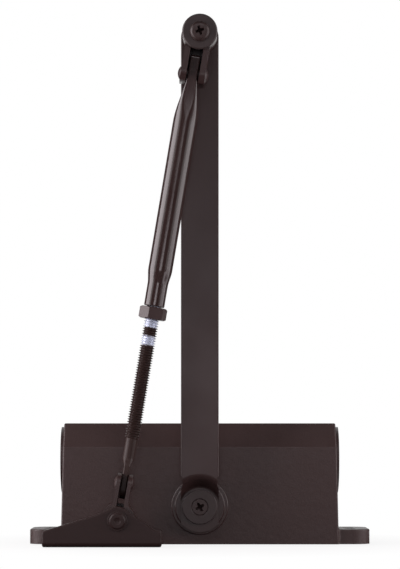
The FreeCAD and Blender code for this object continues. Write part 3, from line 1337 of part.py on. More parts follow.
# Frame shoe: folded plate with a web at the rivet and a flange with two screw holes
def make_frame_shoe():
    body = new_body("frame_shoe_body")
    sole = "(-dims.shoe_pivot_height)"
    front = f"({COVER_LOW} + dims.shoe_plate)"
    web = outline(body, "web_outline", "XZ_Plane", [
        ("-dims.shoe_left", sole),
        ("dims.shoe_right", sole),
        ("dims.shoe_right", f"{sole} + dims.shoe_right_edge"),
        ("dims.shoe_right_knee", f"{sole} + dims.shoe_right_edge"),
        ("dims.shoe_apex_offset", f"{sole} + dims.shoe_apex_height"),
        ("-dims.shoe_left_knee", f"{sole} + dims.shoe_left_knee_height"),
        ("-dims.shoe_left", f"{sole} + dims.shoe_left_edge"),
    ], COVER_LOW)
    pad(body, "web", web, "dims.shoe_plate")
    flange = outline(body, "flange_outline", "XY_Plane", [
        ("-dims.shoe_left", f"-{front}"),
        ("dims.shoe_right", f"-{front}"),
        ("dims.shoe_right", f"-{front} + dims.shoe_flange_depth"),
        ("-dims.shoe_left", f"-{front} + dims.shoe_flange_depth"),
    ], sole)
    pad(body, "flange", flange, "dims.shoe_flange_plate")
    for name, radius, place_x in (
            ("apex_round", "dims.shoe_apex_radius", "dims.shoe_apex_offset"),
            ("left_knee_round", "dims.shoe_left_knee_radius", "-dims.shoe_left_knee"),
            ("right_knee_round", "dims.shoe_right_knee_radius", "dims.shoe_right_knee")):
        knee = value(place_x)
        rounded(body, name, radius,
                lambda edge: along(edge, Vector(0, 1, 0)) and abs(edge.BoundBox.XMax - knee) < NEAR)
    base = value(sole)
    front_y = -value(front)
    rounded(body, "bend", "dims.shoe_bend_radius",
            lambda edge: along(edge, Vector(1, 0, 0)) and abs(edge.BoundBox.ZMax - base) < NEAR
            and abs(edge.BoundBox.YMax - front_y) < NEAR)
    rounded(body, "corners", "dims.shoe_corner_radius", is_shoe_corner)
    rounded(body, "rim", "dims.shoe_rim_radius",
            lambda edge: abs(edge.BoundBox.YMax - front_y) < NEAR
            and abs(edge.BoundBox.YMin - front_y) < NEAR
            and edge.BoundBox.ZMax > base + 2 * value("dims.shoe_bend_radius"))
    middle = f"-({front} + {COVER_LOW} + dims.shoe_plate - dims.shoe_flange_depth) / 2"
    for side, place_x in (("left", "-dims.shoe_hole_left"), ("right", "dims.shoe_hole_right")):
        bored(body, f"shoe_hole_{side}", "dims.shoe_hole_radius",
              "3 * dims.shoe_flange_plate", HOLE_ALONG_Z, place_x, middle,
              f"{sole} - dims.shoe_flange_plate")
    bored(body, "rivet_hole", "dims.shoe_rivet_radius", "3 * dims.shoe_plate",
          HOLE_ALONG_Y, "0", f"-{front} - dims.shoe_plate", "0")
    return node(place(body, Rotation(), SHOE_X, FACE, SHOE_Z), "frame_shoe")


def is_shoe_corner(edge):
    """Upright corners of the web's two ends and of the flange's free edge."""
    ends = (-value("dims.shoe_left"), value("dims.shoe_right"))
    bounds = edge.BoundBox
    at_end = any(abs(bounds.XMin - end) < NEAR and abs(bounds.XMax - end) < NEAR for end in ends)
    bend = value("dims.shoe_flange_plate + dims.shoe_bend_radius - dims.shoe_pivot_height")
    if along(edge, Vector(0, 1, 0)):
        return at_end and bounds.ZMax > bend
    back = -value(f"{COVER_LOW} + dims.shoe_plate - dims.shoe_flange_depth")
    return along(edge, Vector(0, 0, 1)) and at_end and abs(bounds.YMax - back) < NEAR


def make_shoe_pivot():
    gap = "dims.assembly_gap"
    front = f"({COVER_LOW} + dims.shoe_plate)"
    step = f"({front} + dims.shoe_rivet_head_height)"
    crown = f"({step} + dims.shoe_rivet_crown_height)"
    washer_top = f"({STRAP_LOW} - dims.level_gap)"
    washer_low = f"({washer_top} - dims.shoe_washer_thickness)"
    tail = f"({washer_low} - dims.shoe_tail_thickness)"
    shank = "dims.shoe_rivet_radius"
    rivet = turned("shoe_rivet", [
        ("0", tail),
        ("dims.shoe_tail_radius - dims.shoe_rivet_crown_bevel", tail),
        ("dims.shoe_tail_radius", washer_low),
        (shank, washer_low),
        (shank, front),
        ("dims.shoe_rivet_head_radius", front),
        ("dims.shoe_rivet_head_radius", step),
        ("dims.shoe_rivet_crown_radius", step),
        ("dims.shoe_rivet_crown_radius - dims.shoe_rivet_crown_bevel", crown),
        ("dims.shoe_rivet_dimple_radius", crown),
        ("0", f"{crown} - dims.shoe_rivet_dimple_depth"),
    ], TO_VIEWER, SHOE_X, FACE, SHOE_Z)
    node(rivet, "shoe_rivet")
    node(ring("shoe_bush", f"{shank} + {gap}", "dims.shoe_bush_radius", washer_top,
              COVER_LOW, TO_VIEWER, SHOE_X, FACE, SHOE_Z), "shoe_bush")
    node(ring("shoe_washer", f"{shank} + {gap}", "dims.shoe_washer_radius", washer_low,
              washer_top, TO_VIEWER, SHOE_X, FACE, SHOE_Z), "shoe_washer")


make_closer_body()
make_end_plug("spring_end_plug", AGAINST_X, f"-{PLUG_FACE}")
make_end_plug("valve_end_plug", ALONG_X, PLUG_FACE)
for ring_name, ring_x in (("spring_plug_ring", f"-{PLUG_RING_X}"),
                          ("valve_plug_ring", PLUG_RING_X)):
    make_seal_ring(ring_name, "dims.plug_radius - dims.ring_wire_radius",
                   "dims.ring_wire_radius", HOLE_ALONG_X, ring_x, "0", BORE_HEIGHT)
make_upper_cap()
make_bearing("upper_bearing", TO_VIEWER, UPPER_BEARING, "dims.upper_bearing_length")
make_bearing("lower_bearing", ALONG_Y, LOWER_BEARING, "dims.lower_bearing_length")
make_shaft_seal("upper_shaft_seal", TO_VIEWER, f"{UPPER_BEARING} + dims.upper_bearing_length")
make_shaft_seal("lower_shaft_seal", ALONG_Y, f"{LOWER_BEARING} + dims.lower_bearing_length")
make_spindle_cover()
make_pinion_shaft()
make_piston()
make_piston_ring()
make_check_valve()
make_spring()
make_valves()
make_main_arm()
make_arm_fixing()
make_elbow()
make_elbow_strap()
make_forearm_tube()
make_lock_nut()
make_threaded_rod()
make_shoe_strap()
make_frame_shoe()
make_shoe_pivot()
doc.recompute()

# Nothing is written unless every object is sound
failed = [item.Name for item in doc.Objects if "Invalid" in item.State or "Error" in item.State]
assert not failed, f"failed objects: {failed}"
os.makedirs("parts", exist_ok=True)
for item in nodes:
    assert not item.Shape.isNull() and item.Shape.isValid(), f"{item.Label} is not sound"
for item in nodes:
    item.Shape.exportStep(f"parts/{item.Label}.step")
print(f"{len(nodes)} sub-parts written")
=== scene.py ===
# %% [markdown]
# # An overhead door closer, dressed for its picture
#
# The solids of this closer are already made: a cast body with a rack and pinion inside, a
# flat main arm, an adjustable forearm and a folded shoe. This script loads them as a fixed
# frame and gives each of them its paint or metal. Pieces whose real form is finer than
# their solid, such as the threaded rod and the screws, are worked out anew as surfaces.
# Blender counts in metres. The sizes of pieces are given in millimetres here and turned
# into metres where a surface is made.

# %% Load the solids and keep their box
import json
import math

import bmesh
import bpy
import numpy as np
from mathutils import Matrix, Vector

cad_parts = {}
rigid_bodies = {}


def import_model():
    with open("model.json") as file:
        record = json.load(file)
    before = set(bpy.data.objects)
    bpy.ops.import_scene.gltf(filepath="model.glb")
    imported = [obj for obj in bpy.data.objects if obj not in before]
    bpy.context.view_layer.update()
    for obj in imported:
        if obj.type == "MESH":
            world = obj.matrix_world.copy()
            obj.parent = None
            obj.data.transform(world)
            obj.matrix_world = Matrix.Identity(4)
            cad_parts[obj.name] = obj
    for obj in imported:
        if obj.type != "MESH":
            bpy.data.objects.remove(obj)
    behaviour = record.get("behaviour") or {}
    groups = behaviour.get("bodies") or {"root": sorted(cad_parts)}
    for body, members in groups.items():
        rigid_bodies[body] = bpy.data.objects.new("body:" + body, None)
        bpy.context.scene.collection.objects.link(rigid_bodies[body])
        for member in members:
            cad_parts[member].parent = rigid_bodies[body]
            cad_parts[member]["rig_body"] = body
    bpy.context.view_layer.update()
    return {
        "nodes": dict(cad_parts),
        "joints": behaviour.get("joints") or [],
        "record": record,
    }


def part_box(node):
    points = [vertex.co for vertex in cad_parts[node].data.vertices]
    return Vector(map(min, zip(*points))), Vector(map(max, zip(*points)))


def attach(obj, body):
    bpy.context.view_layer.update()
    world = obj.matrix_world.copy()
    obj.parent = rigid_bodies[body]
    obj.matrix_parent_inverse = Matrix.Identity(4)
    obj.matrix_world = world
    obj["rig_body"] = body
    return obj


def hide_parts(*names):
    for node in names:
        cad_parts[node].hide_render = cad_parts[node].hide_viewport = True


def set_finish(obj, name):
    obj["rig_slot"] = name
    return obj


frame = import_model()
MM = 0.001
joints = {joint["name"]: joint for joint in frame["joints"]}
slot_of = {part["node"]: part["material_slot"] for part in frame["record"]["subparts"]}

# %% [markdown]
# ## The camera
#
# The closer stands on its back plate, and the picture is taken from 1.4 metres away, level
# with the upper edge of the body, so that the top of the body is seen edge on. A level
# camera keeps the arm's edges upright. A lens shift brings the elbow, far above the eye,
# into the frame, as the rising front of a view camera does. One pixel of the picture is
# 0.541 millimetres on the near face of the body.

# %% Camera
FACE_Y = -0.022
EYE_X, EYE_Z = 0.0001, 0.065
EYE_DISTANCE = 1.407
PIXEL = 0.541 * MM
FRAME_HEIGHT = 569 * PIXEL
FRAME_RISE = 139.7 * PIXEL

camera = bpy.data.cameras.new("camera")
camera.sensor_width = 36.0
camera.lens = camera.sensor_width * EYE_DISTANCE / FRAME_HEIGHT
camera.shift_y = FRAME_RISE / FRAME_HEIGHT
camera_holder = bpy.data.objects.new("camera", camera)
camera_holder.location = (EYE_X, FACE_Y - EYE_DISTANCE, EYE_Z)
camera_holder.rotation_euler = (math.radians(90), 0, 0)
bpy.context.scene.collection.objects.link(camera_holder)
bpy.context.scene.camera = camera_holder
print(f"lens {camera.lens:.1f} mm, shift {camera.shift_y:.3f}")

# %% [markdown]
# ## Surfaces from numpy
#
# A piece is a grid of points: rows run along it and columns run round it. Working with
# whole arrays is fast, and the shape can be read as a formula. Rows that shrink to a point
# close the ends. Points that fall together are merged, the faces are turned outwards, and
# only edges sharper than a given angle stay hard.


# %% A grid of points becomes a piece
def surface(name, points, node, sharp=40.0):
    """Mesh through points[row, column], closed round its columns, that stands for a node.

    Each face joins a point, its neighbour round the row, and the same two of the next row.
    """
    rows, columns = points.shape[:2]
    index = np.arange(rows * columns).reshape(rows, columns)
    beside = np.roll(index, -1, axis=1)
    corners = (index[:-1], beside[:-1], beside[1:], index[1:])
    quads = np.stack(corners, axis=-1).reshape(-1, 4)
    mesh = bpy.data.meshes.new(name)
    mesh.from_pydata(points.reshape(-1, 3).tolist(), [], quads.tolist())
    work = bmesh.new()
    work.from_mesh(mesh)
    bmesh.ops.remove_doubles(work, verts=work.verts, dist=1e-7)
    bmesh.ops.recalc_face_normals(work, faces=work.faces)
    work.to_mesh(mesh)
    work.free()
    mesh.shade_smooth()
    mesh.set_sharp_from_angle(angle=math.radians(sharp))
    piece = bpy.data.objects.new(name, mesh)
    bpy.context.scene.collection.objects.link(piece)
    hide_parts(node)
    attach(piece, frame["nodes"][node]["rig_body"])
    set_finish(piece, slot_of[node])
    print(f"{name}: {len(mesh.polygons)} faces")
    return piece


# %% [markdown]
# The tube and the rod lie along the forearm, which leans 9.55 degrees in the picture. Their
# points are worked out in three directions: along the forearm from the elbow's rivet,
# across it, and deep, away from the viewer. The joint of the record gives the direction.
#
# Every section of both pieces is a rectangle with rounded corners. With corners as large
# as its half sides it is a circle, so one formula serves the round and the flattened
# parts, and everything between them.

# %% Directions of the forearm, and its sections
elbow_pin = np.array(joints["elbow_tilt"]["pos_m"])
along_forearm = np.array(joints["forearm_extend"]["axis"])
across_forearm = np.array([-along_forearm[2], 0.0, along_forearm[0]])
deep_forearm = np.array([0.0, 1.0, 0.0])
QUADRANT_STEPS = 10


def forearm_sections(along, half_across, half_deep, corner):
    """Points of rows of sections. Each size is one per row, or one per row and column.

    In each quadrant a point is the middle of the corner's arc, which is the half side less
    the corner, plus the corner times the cosine or sine of the angle.
    """
    quarter = np.linspace(0.0, math.pi / 2, QUADRANT_STEPS + 1)
    angle = np.concatenate([quarter + turn * math.pi / 2 for turn in range(4)])
    side_x = np.repeat([1.0, -1.0, -1.0, 1.0], QUADRANT_STEPS + 1)
    side_y = np.repeat([1.0, 1.0, -1.0, -1.0], QUADRANT_STEPS + 1)
    half_across, half_deep, corner = (
        size[:, None] if size.ndim == 1 else size for size in (half_across, half_deep, corner))
    across = (half_across - corner) * side_x + corner * np.cos(angle)
    deep = (half_deep - corner) * side_y + corner * np.sin(angle)
    parts = (across[..., None] * across_forearm + deep[..., None] * deep_forearm
             + along[:, None, None] * along_forearm)
    return elbow_pin + parts * MM


def smooth(low, high, x):
    """0 up to low, 1 from high on, and a soft S between them."""
    share = np.clip((x - low) / (high - low), 0.0, 1.0)
    return share * share * (3 - 2 * share)


def inset(distance, radius):
    """How far a rounded edge has drawn in at a distance from its end."""
    rest = np.clip(radius - distance, 0.0, radius)
    return radius - np.sqrt(radius ** 2 - rest ** 2)


# %% [markdown]
# ## Forearm tube
#
# A steel tube, pressed flat where it enters the elbow strap and drawn narrow where the
# rod is screwed in. The flat end keeps small round corners that catch the light as two
# thin lines. They widen into the two broad bands on the round part. The inner wall is
# carried on from the open end, so that the tube is hollow where the rod slides in it.

# %% Forearm tube
TUBE_TIP, TUBE_END = -9.5, 125.0
BLADE_HALF, BLADE_HIGH, BLADE_CORNER = 2.6, 7.6, 0.75
SWELL_END, SINK_END = 26.5, 60.0
NECK_START, NECK_END = 105.0, 113.4
TUBE_RADIUS, NECK_RADIUS, THREAD_BORE, TUBE_BORE = 6.45, 5.5, 4.06, 4.85
BORE_START, BORE_END, THREAD_BORE_START = 26.0, 104.0, 112.4
TIP_CORNER, TIP_EDGE, MOUTH_EDGE, BORE_BEVEL = 1.6, 0.4, 0.5, 0.3


def tube_rows():
    """Along, half sides and corner of each row, outside from the tip and then back inside.

    Rows lie close together where the tube swells, at its neck and at its rounded rims.
    """
    outside = np.concatenate([
        TUBE_TIP + TIP_CORNER * (1 - np.cos(np.linspace(0, math.pi / 2, 15))),
        np.linspace(-7.0, -3.0, 5),
        np.linspace(-2.5, 30.0, 60),
        np.linspace(33.0, 103.0, 16),
        np.linspace(104.5, 114.0, 30),
        np.linspace(116.0, TUBE_END - MOUTH_EDGE, 5),
        TUBE_END - MOUTH_EDGE + MOUTH_EDGE * np.sin(np.linspace(0.1, math.pi / 2, 7)),
    ])
    swell = smooth(0.0, SWELL_END, outside)
    sink = smooth(0.0, SINK_END, outside)
    neck = smooth(NECK_START, NECK_END, outside)
    round_radius = TUBE_RADIUS + (NECK_RADIUS - TUBE_RADIUS) * neck
    mouth = inset(TUBE_END - outside, MOUTH_EDGE)
    tip = inset(outside - TUBE_TIP, TIP_EDGE)
    half = BLADE_HALF + (round_radius - BLADE_HALF) * swell - mouth - tip
    high = BLADE_HIGH + (round_radius - BLADE_HIGH) * sink - mouth - tip
    high = high - inset(outside - TUBE_TIP, TIP_CORNER)
    corner = np.minimum(BLADE_CORNER + (round_radius - BLADE_CORNER) * swell ** 2,
                        np.minimum(half, high))
    inside = [TUBE_END, TUBE_END - BORE_BEVEL, THREAD_BORE_START, BORE_END, BORE_START,
              BORE_START]
    bore = [THREAD_BORE + BORE_BEVEL, THREAD_BORE, THREAD_BORE, TUBE_BORE, TUBE_BORE, 0.0]
    along = np.concatenate([[TUBE_TIP], outside, inside])
    return along, *(np.concatenate([[0.0], size, bore]) for size in (half, high, corner))


forearm_tube = surface("forearm_tube_pressed", forearm_sections(*tube_rows()), "forearm_tube")

# %% [markdown]
# ## Threaded rod
#
# The thread is real geometry: the radius is a function of the place along the rod and of
# the angle round it. Their difference gives the phase of the helix, and the profile has a
# flat crest, a flat root and straight flanks. Under the thread the rod is plain, and then
# pressed into a blade for the shoe strap's rivet.

# %% Threaded rod
ROD_START, THREAD_START, THREAD_END, SHANK_START = 97.0, 105.0, 196.6, 197.6
PRESS_START, PRESS_END, ROD_TIP = 206.6, 211.1, 228.5
THREAD_RADIUS, THREAD_ROOT, THREAD_PITCH = 4.0, 3.1, 1.32
CREST_SHARE, ROOT_START = 0.14, 0.76
LEAD_IN, RUN_OUT, ROOT_RISE = 1.5, 1.8, 2.0
SHANK_RADIUS, ROD_BLADE_HALF, ROD_BLADE_HIGH, ROD_BLADE_CORNER = 3.15, 1.6, 4.8, 0.7
ROD_BLADE_EDGE, LEAST_HALF, START_GUARD = 0.5, 0.02, 0.7
ROWS_PER_TURN = 12


def thread_profile(phase):
    """1 on the crest and 0 in the root, with straight flanks between two flats."""
    distance = np.abs(phase - np.floor(phase) - 0.5) * 2
    return np.clip((ROOT_START - distance) / (ROOT_START - CREST_SHARE), 0.0, 1.0)


def rod_rows():
    """Along, half sides and corner, which differ round each row because of the thread."""
    turns = (THREAD_END - THREAD_START) / THREAD_PITCH
    thread = np.linspace(THREAD_START, THREAD_END, int(turns * ROWS_PER_TURN) + 1)
    blade = np.concatenate([
        np.linspace(SHANK_START, PRESS_START, 10),
        np.linspace(207.0, 211.5, 19),
        np.linspace(212.4, ROD_TIP - ROD_BLADE_HIGH, 8),
        ROD_TIP - ROD_BLADE_HIGH * (1 - np.sin(np.linspace(0.1, math.pi / 2, 14))),
    ])
    start = [ROD_START, ROD_START, ROD_START + START_GUARD]
    along = np.concatenate([start, thread, blade, [ROD_TIP]])
    quarter = np.linspace(0.0, 0.25, QUADRANT_STEPS + 1)
    round_share = np.concatenate([quarter + turn * 0.25 for turn in range(4)])
    phase = along[:, None] / THREAD_PITCH - round_share[None, :]
    fade = (smooth(THREAD_START, THREAD_START + LEAD_IN, along)
            * (1 - smooth(THREAD_END - RUN_OUT, THREAD_END, along)))
    rise = smooth(THREAD_END - ROOT_RISE, SHANK_START, along)
    plain = THREAD_ROOT + (SHANK_RADIUS - THREAD_ROOT) * rise
    crest = (THREAD_RADIUS - THREAD_ROOT) * thread_profile(phase) * fade[:, None]
    radius = plain[:, None] + crest
    press = smooth(PRESS_START, PRESS_END, along)[:, None]
    edge = inset(ROD_TIP - along, ROD_BLADE_EDGE)[:, None]
    nose = inset(ROD_TIP - along, ROD_BLADE_HIGH)[:, None]
    half = radius + (ROD_BLADE_HALF - radius) * press - edge
    high = radius + (ROD_BLADE_HIGH - radius) * press - nose
    corner = radius + (ROD_BLADE_CORNER - radius) * press
    open_rows = np.ones_like(along)
    open_rows[[0, -1]] = 0.0
    half = half * open_rows[:, None]
    high = np.maximum(high, LEAST_HALF) * open_rows[:, None]
    return along, half, high, np.minimum(corner, np.minimum(half, high))


threaded_rod = surface("threaded_rod_cut", forearm_sections(*rod_rows()), "threaded_rod", 60.0)

# %% [markdown]
# ## Lock nut
#
# A hexagon nut is a hexagon cut by a cone at each face. Both are radii that depend on the
# angle and on the distance from the face, and the smaller one wins. The curved edges
# between chamfer and flats then come out by themselves, as on a turned nut.

# %% Lock nut
NUT_START, NUT_THICKNESS, NUT_FLATS, NUT_CHAMFER = 125.4, 6.5, 13.0, 6.35
NUT_TURN, NUT_BORE_BEVEL = math.radians(-17.0), 0.5
nut_angle = np.radians(np.arange(0, 360, 3.75))
from_face = np.array([0.0, 0.1, 0.2, 0.3, 0.4, 0.5, 0.6, 0.7, 0.85, 1.5])
level = np.concatenate([from_face, NUT_THICKNESS - from_face[::-1]])
hexagon = NUT_FLATS / 2 / np.cos((nut_angle + math.pi / 6) % (math.pi / 3) - math.pi / 6)
cone = NUT_CHAMFER + math.sqrt(3) * np.minimum(level, NUT_THICKNESS - level)
outer = np.minimum(hexagon[None, :], cone[:, None])
bore_radius = np.array([THREAD_BORE, THREAD_BORE, THREAD_BORE + NUT_BORE_BEVEL])
bore_level = np.array([NUT_THICKNESS / 2, NUT_BORE_BEVEL, 0.0])
every = np.ones_like(nut_angle)
nut_radius = np.concatenate([np.outer(bore_radius, every), outer,
                             np.outer(bore_radius[::-1], every)])
nut_level = np.concatenate([bore_level, level, NUT_THICKNESS - bore_level[::-1]])
nut_spin = nut_angle + NUT_TURN
nut_points = elbow_pin + MM * (
    (nut_radius * np.cos(nut_spin))[..., None] * across_forearm
    + (nut_radius * np.sin(nut_spin))[..., None] * deep_forearm
    + np.outer(NUT_START + nut_level, every)[..., None] * along_forearm)
lock_nut = surface("lock_nut_chamfered", nut_points, "lock_nut", 25.0)

# %% [markdown]
# ## Turned pieces
#
# Screws and rivets are turned or headed, so each is a profile of radius and level that is
# carried round an axis. Sharp corners of the profile are replaced by short arcs, which
# give the thin bright rims of real fasteners.


# %% Profiles with rounded corners, carried round an axis
GUARD = 0.04


def rounded_profile(corners, steps=5):
    """Profile through (radius, level, rounding): each corner becomes a small arc.

    The arc is a quadratic curve that starts and ends its rounding away from the corner. One
    more row lies close to each end of it, so that the flats beside the arc stay flat in
    their shading.
    """
    places = np.array([corner[:2] for corner in corners], float)
    share = np.linspace(0.0, 1.0, steps)[:, None]
    rows = [places[:1]]
    for before, here, after, rounding in zip(places, places[1:], places[2:],
                                             [corner[2] for corner in corners[1:]]):
        if not rounding:
            rows.append(here[None])
            continue
        back, ahead = before - here, after - here
        back, ahead = back / np.linalg.norm(back), ahead / np.linalg.norm(ahead)
        start, end = here + back * rounding, here + ahead * rounding
        arc = (1 - share) ** 2 * start + 2 * share * (1 - share) * here + share ** 2 * end
        rows += [(start + back * GUARD)[None], arc, (end + ahead * GUARD)[None]]
    rows.append(places[-1:])
    return np.concatenate(rows)


def turned(name, node, profile, centre, axis, columns=96, dent=None):
    """Profile of (radius, level) in millimetres, carried round an axis through centre."""
    angle = np.linspace(0.0, 2 * math.pi, columns, endpoint=False)
    axis = np.array(axis, float)
    side = np.cross(axis, [0.0, 1.0, 0.0] if abs(axis[1]) < 0.9 else [0.0, 0.0, 1.0])
    side /= np.linalg.norm(side)
    up = np.cross(axis, side)
    first = profile[:, :1] * np.cos(angle)
    second = profile[:, :1] * np.sin(angle)
    height = np.broadcast_to(profile[:, 1:], first.shape)
    if dent is not None:
        height = height - dent(first, second, height)
    points = (first[..., None] * side + second[..., None] * up + height[..., None] * axis)
    return surface(name, np.array(centre) + points * MM, node)


# %% [markdown]
# ## Rivets
#
# The cross rivets of both straps are domed on each side, and each runs right through its
# legs. A dome is a part of a sphere, whose radius follows from its width and its height.


# %% Domed cross rivets
HEAD_UNDERCUT, GRIP_SKIN = 0.15, 0.02


def domed_rivet(name, node, pin, radius, head_radius, head_height, grip):
    """Rivet across the forearm, whose two heads stand on both ends of its grip."""
    sphere = (head_radius ** 2 + head_height ** 2) / (2 * head_height)
    swing = np.linspace(0.0, math.asin(head_radius / sphere), 12)
    dome = np.stack([sphere * np.sin(swing), sphere * np.cos(swing)], axis=1)
    dome[:, 1] += grip / 2 + head_height - sphere
    under = np.array([[head_radius - HEAD_UNDERCUT, grip / 2],
                      [radius, grip / 2 - GRIP_SKIN]])
    half = np.concatenate([dome, under])
    other = half[::-1] * [1.0, -1.0]
    return turned(name, node, np.concatenate([half, other]), pin, across_forearm)


shoe_pin = np.array(joints["shoe_tilt"]["pos_m"])
elbow_rivet = domed_rivet("elbow_rivet_domed", "elbow_cross_rivet", elbow_pin,
                          radius=3.0, head_radius=4.0, head_height=1.7, grip=13.0)
shoe_pin_rivet = domed_rivet("shoe_pin_rivet_domed", "shoe_cross_rivet", shoe_pin,
                             radius=2.5, head_radius=3.9, head_height=1.5, grip=7.9)

# %% [markdown]
# ## Shoe rivet
#
# The rivet of the shoe was set with a tool that left a low raised crown with a small
# hollow in its middle, standing on a thin flat head.

# %% Shoe rivet
TOWARDS_VIEWER = (0.0, -1.0, 0.0)
CROWN, HEAD, HOLLOW, TAIL = 1.5, 0.7, 1.0, 1.0
shoe_pivot = np.array(joints["shoe_swivel"]["pos_m"])
shoe_rivet_low, shoe_rivet_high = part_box("shoe_rivet")
web_front = -shoe_rivet_low.y / MM - CROWN
tail_level = -shoe_rivet_high.y / MM
shoe_rivet_profile = rounded_profile([
    (0.0, web_front + HOLLOW, 0.0),
    (1.2, web_front + HOLLOW + 0.15, 0.3),
    (1.9, web_front + CROWN, 0.3),
    (3.8, web_front + CROWN, 0.4),
    (4.3, web_front + HEAD, 0.25),
    (5.3, web_front + HEAD, 0.3),
    (5.3, web_front, 0.05),
    (4.0, web_front, 0.0),
    (4.0, tail_level + TAIL, 0.0),
    (5.4, tail_level + TAIL, 0.1),
    (4.9, tail_level, 0.2),
    (0.0, tail_level, 0.0),
])
shoe_rivet = turned("shoe_rivet_set", "shoe_rivet", shoe_rivet_profile,
                    (shoe_pivot[0], 0.0, shoe_pivot[2]), TOWARDS_VIEWER)

# %% [markdown]
# ## Bearing cap
#
# The ring round the pinion is screwed into the body and has two low steps. Their rims are
# well rounded by polishing and paint, and catch the side panels as two thin bright arcs.
# The profile runs once round the ring's section and closes on itself.

# %% Bearing cap
CAP_DEPTH, CAP_THREAD, CAP_BORE, CAP_LIP = 9.0, 14.6, 10.55, 8.0
CAP_RIM, CAP_STEP, CAP_RISE, LIP_LEVEL = 15.4, 13.5, 0.8, 0.1
FACE_LEVEL = -FACE_Y / MM
cap_profile = rounded_profile([
    (CAP_BORE, FACE_LEVEL - CAP_DEPTH, 0.0),
    (CAP_THREAD, FACE_LEVEL - CAP_DEPTH, 0.3),
    (CAP_THREAD, FACE_LEVEL, 0.0),
    (CAP_RIM, FACE_LEVEL, 0.0),
    (CAP_RIM, FACE_LEVEL + CAP_RISE, 0.7),
    (CAP_STEP, FACE_LEVEL + CAP_RISE, 0.15),
    (CAP_STEP, FACE_LEVEL + 2 * CAP_RISE, 0.6),
    (CAP_LIP, FACE_LEVEL + 2 * CAP_RISE, 0.2),
    (CAP_LIP, FACE_LEVEL + LIP_LEVEL, 0.0),
    (CAP_BORE, FACE_LEVEL + LIP_LEVEL, 0.0),
    (CAP_BORE, FACE_LEVEL - CAP_DEPTH, 0.0),
], 8)
pinion_z = joints["pinion_turn"]["pos_m"][2]
bearing_cap = turned("bearing_cap_rounded", "upper_bearing_cap", cap_profile,
                     (0.0, 0.0, pinion_z), TOWARDS_VIEWER, 128)

# %% [markdown]
# ## Cross-recess screws
#
# Both screws have a cross recess with four tapering wings. On the grid of the head, which
# is fine in the middle, the recess is a depth that is taken off the level: a wing is where
# the distance across it is less than its width, and a wider core joins the four wings. The
# floor rises outwards, so that light from the front is thrown against the walls and the
# cross stays dark.


# %% Screws
WING_SPAN, WING_HALF_WIDTH, WING_TAPER, CORE_RADIUS = 2.45, 0.74, 0.3, 1.11
RECESS_DEPTH, RECESS_WALL, FLOOR_RISE, LEAST_SHARE = 3.6, 0.13, 0.6, 0.3
FINE_REACH, FINE_STEP, HEAD_SKIN = 2.85, 0.085, 0.05


def cross_recess(turn, top):
    """Depth of a turned cross recess at places of a head whose top is at a level."""
    cosine, sine = math.cos(math.radians(turn)), math.sin(math.radians(turn))

    def dent(first, second, height):
        one = np.abs(first * cosine + second * sine)
        two = np.abs(second * cosine - first * sine)
        away = np.hypot(one, two)
        wings = [inside(wing_half_width(length) - width) * inside(WING_SPAN - length)
                 for length, width in ((one, two), (two, one))]
        share = np.maximum(np.maximum(*wings), inside(CORE_RADIUS - away))
        floor_share = np.clip(1 - FLOOR_RISE * away / WING_SPAN, LEAST_SHARE, 1)
        deep = share * RECESS_DEPTH * floor_share
        return np.where(height > top - HEAD_SKIN, deep, 0.0)

    return dent


def inside(distance):
    """0 outside the recess, 1 inside it, and a steep slope for its wall between them."""
    return np.clip(distance / RECESS_WALL, 0, 1)


def wing_half_width(length):
    """Half the width of a wing at a distance from the middle of the cross."""
    return WING_HALF_WIDTH * (1 + WING_TAPER / 2 - WING_TAPER * length / WING_SPAN)


def screw(name, node, centre, turn, corners):
    """Screw with a cross recess. Its first flat gets many rows, as the recess needs them."""
    top = corners[0][1]
    rows = np.arange(0.0, FINE_REACH, FINE_STEP)
    middle = np.stack([rows, np.full_like(rows, top)], axis=1)
    profile = np.concatenate([middle, rounded_profile(corners, 7)[1:]])
    return turned(name, node, profile, centre, TOWARDS_VIEWER, 144, cross_recess(turn, top))


arm_screw_low, arm_screw_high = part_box("arm_screw")
arm_top, arm_end = -arm_screw_low.y / MM, -arm_screw_high.y / MM
arm_screw = screw("arm_screw_recessed", "arm_screw", (0.0, 0.0, pinion_z), 28.0, [
    (0.0, arm_top, 0.0),
    (4.25, arm_top, 0.22),
    (2.5, arm_top - 1.75, 0.1),
    (2.5, arm_end, 0.2),
    (0.0, arm_end, 0.0),
])
elbow_screw_low, elbow_screw_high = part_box("elbow_screw")
elbow_top, elbow_end = -elbow_screw_low.y / MM, -elbow_screw_high.y / MM
elbow_z = joints["elbow_swivel"]["pos_m"][2]
elbow_screw = screw("elbow_screw_recessed", "elbow_screw", (0.0, 0.0, elbow_z), 18.0, [
    (0.0, elbow_top, 0.0),
    (4.2, elbow_top - 0.25, 1.1),
    (5.2, elbow_top - 1.6, 0.8),
    (5.3, elbow_top - 3.2, 0.15),
    (2.9, elbow_top - 3.2, 0.0),
    (2.9, elbow_end, 0.3),
    (0.0, elbow_end, 0.0),
])

# %% [markdown]
# ## Finishes: shared effects
#
# Paint, coating and bare metal share a few effects, so each is a node group, built once:
#
# - *tone* shifts a colour a little, in clouds and in fine specks;
# - *grain* gives the height of a fine wrinkle, as powder coat has;
# - *strokes* gives the height of marks drawn out in one direction by rolling or turning.
#
# The groups read Object coordinates, so that a pattern stays on its piece as it moves.


# %% Small helpers for nodes
def add(tree, kind, inputs=None, **settings):
    """Node of a kind, with settings, and with inputs that are numbers or linked sockets."""
    item = tree.nodes.new(kind)
    for key, setting in settings.items():
        setattr(item, key, setting)
    for key, source in (inputs or {}).items():
        if isinstance(source, bpy.types.NodeSocket):
            tree.links.new(source, item.inputs[key])
        else:
            item.inputs[key].default_value = source
    return item


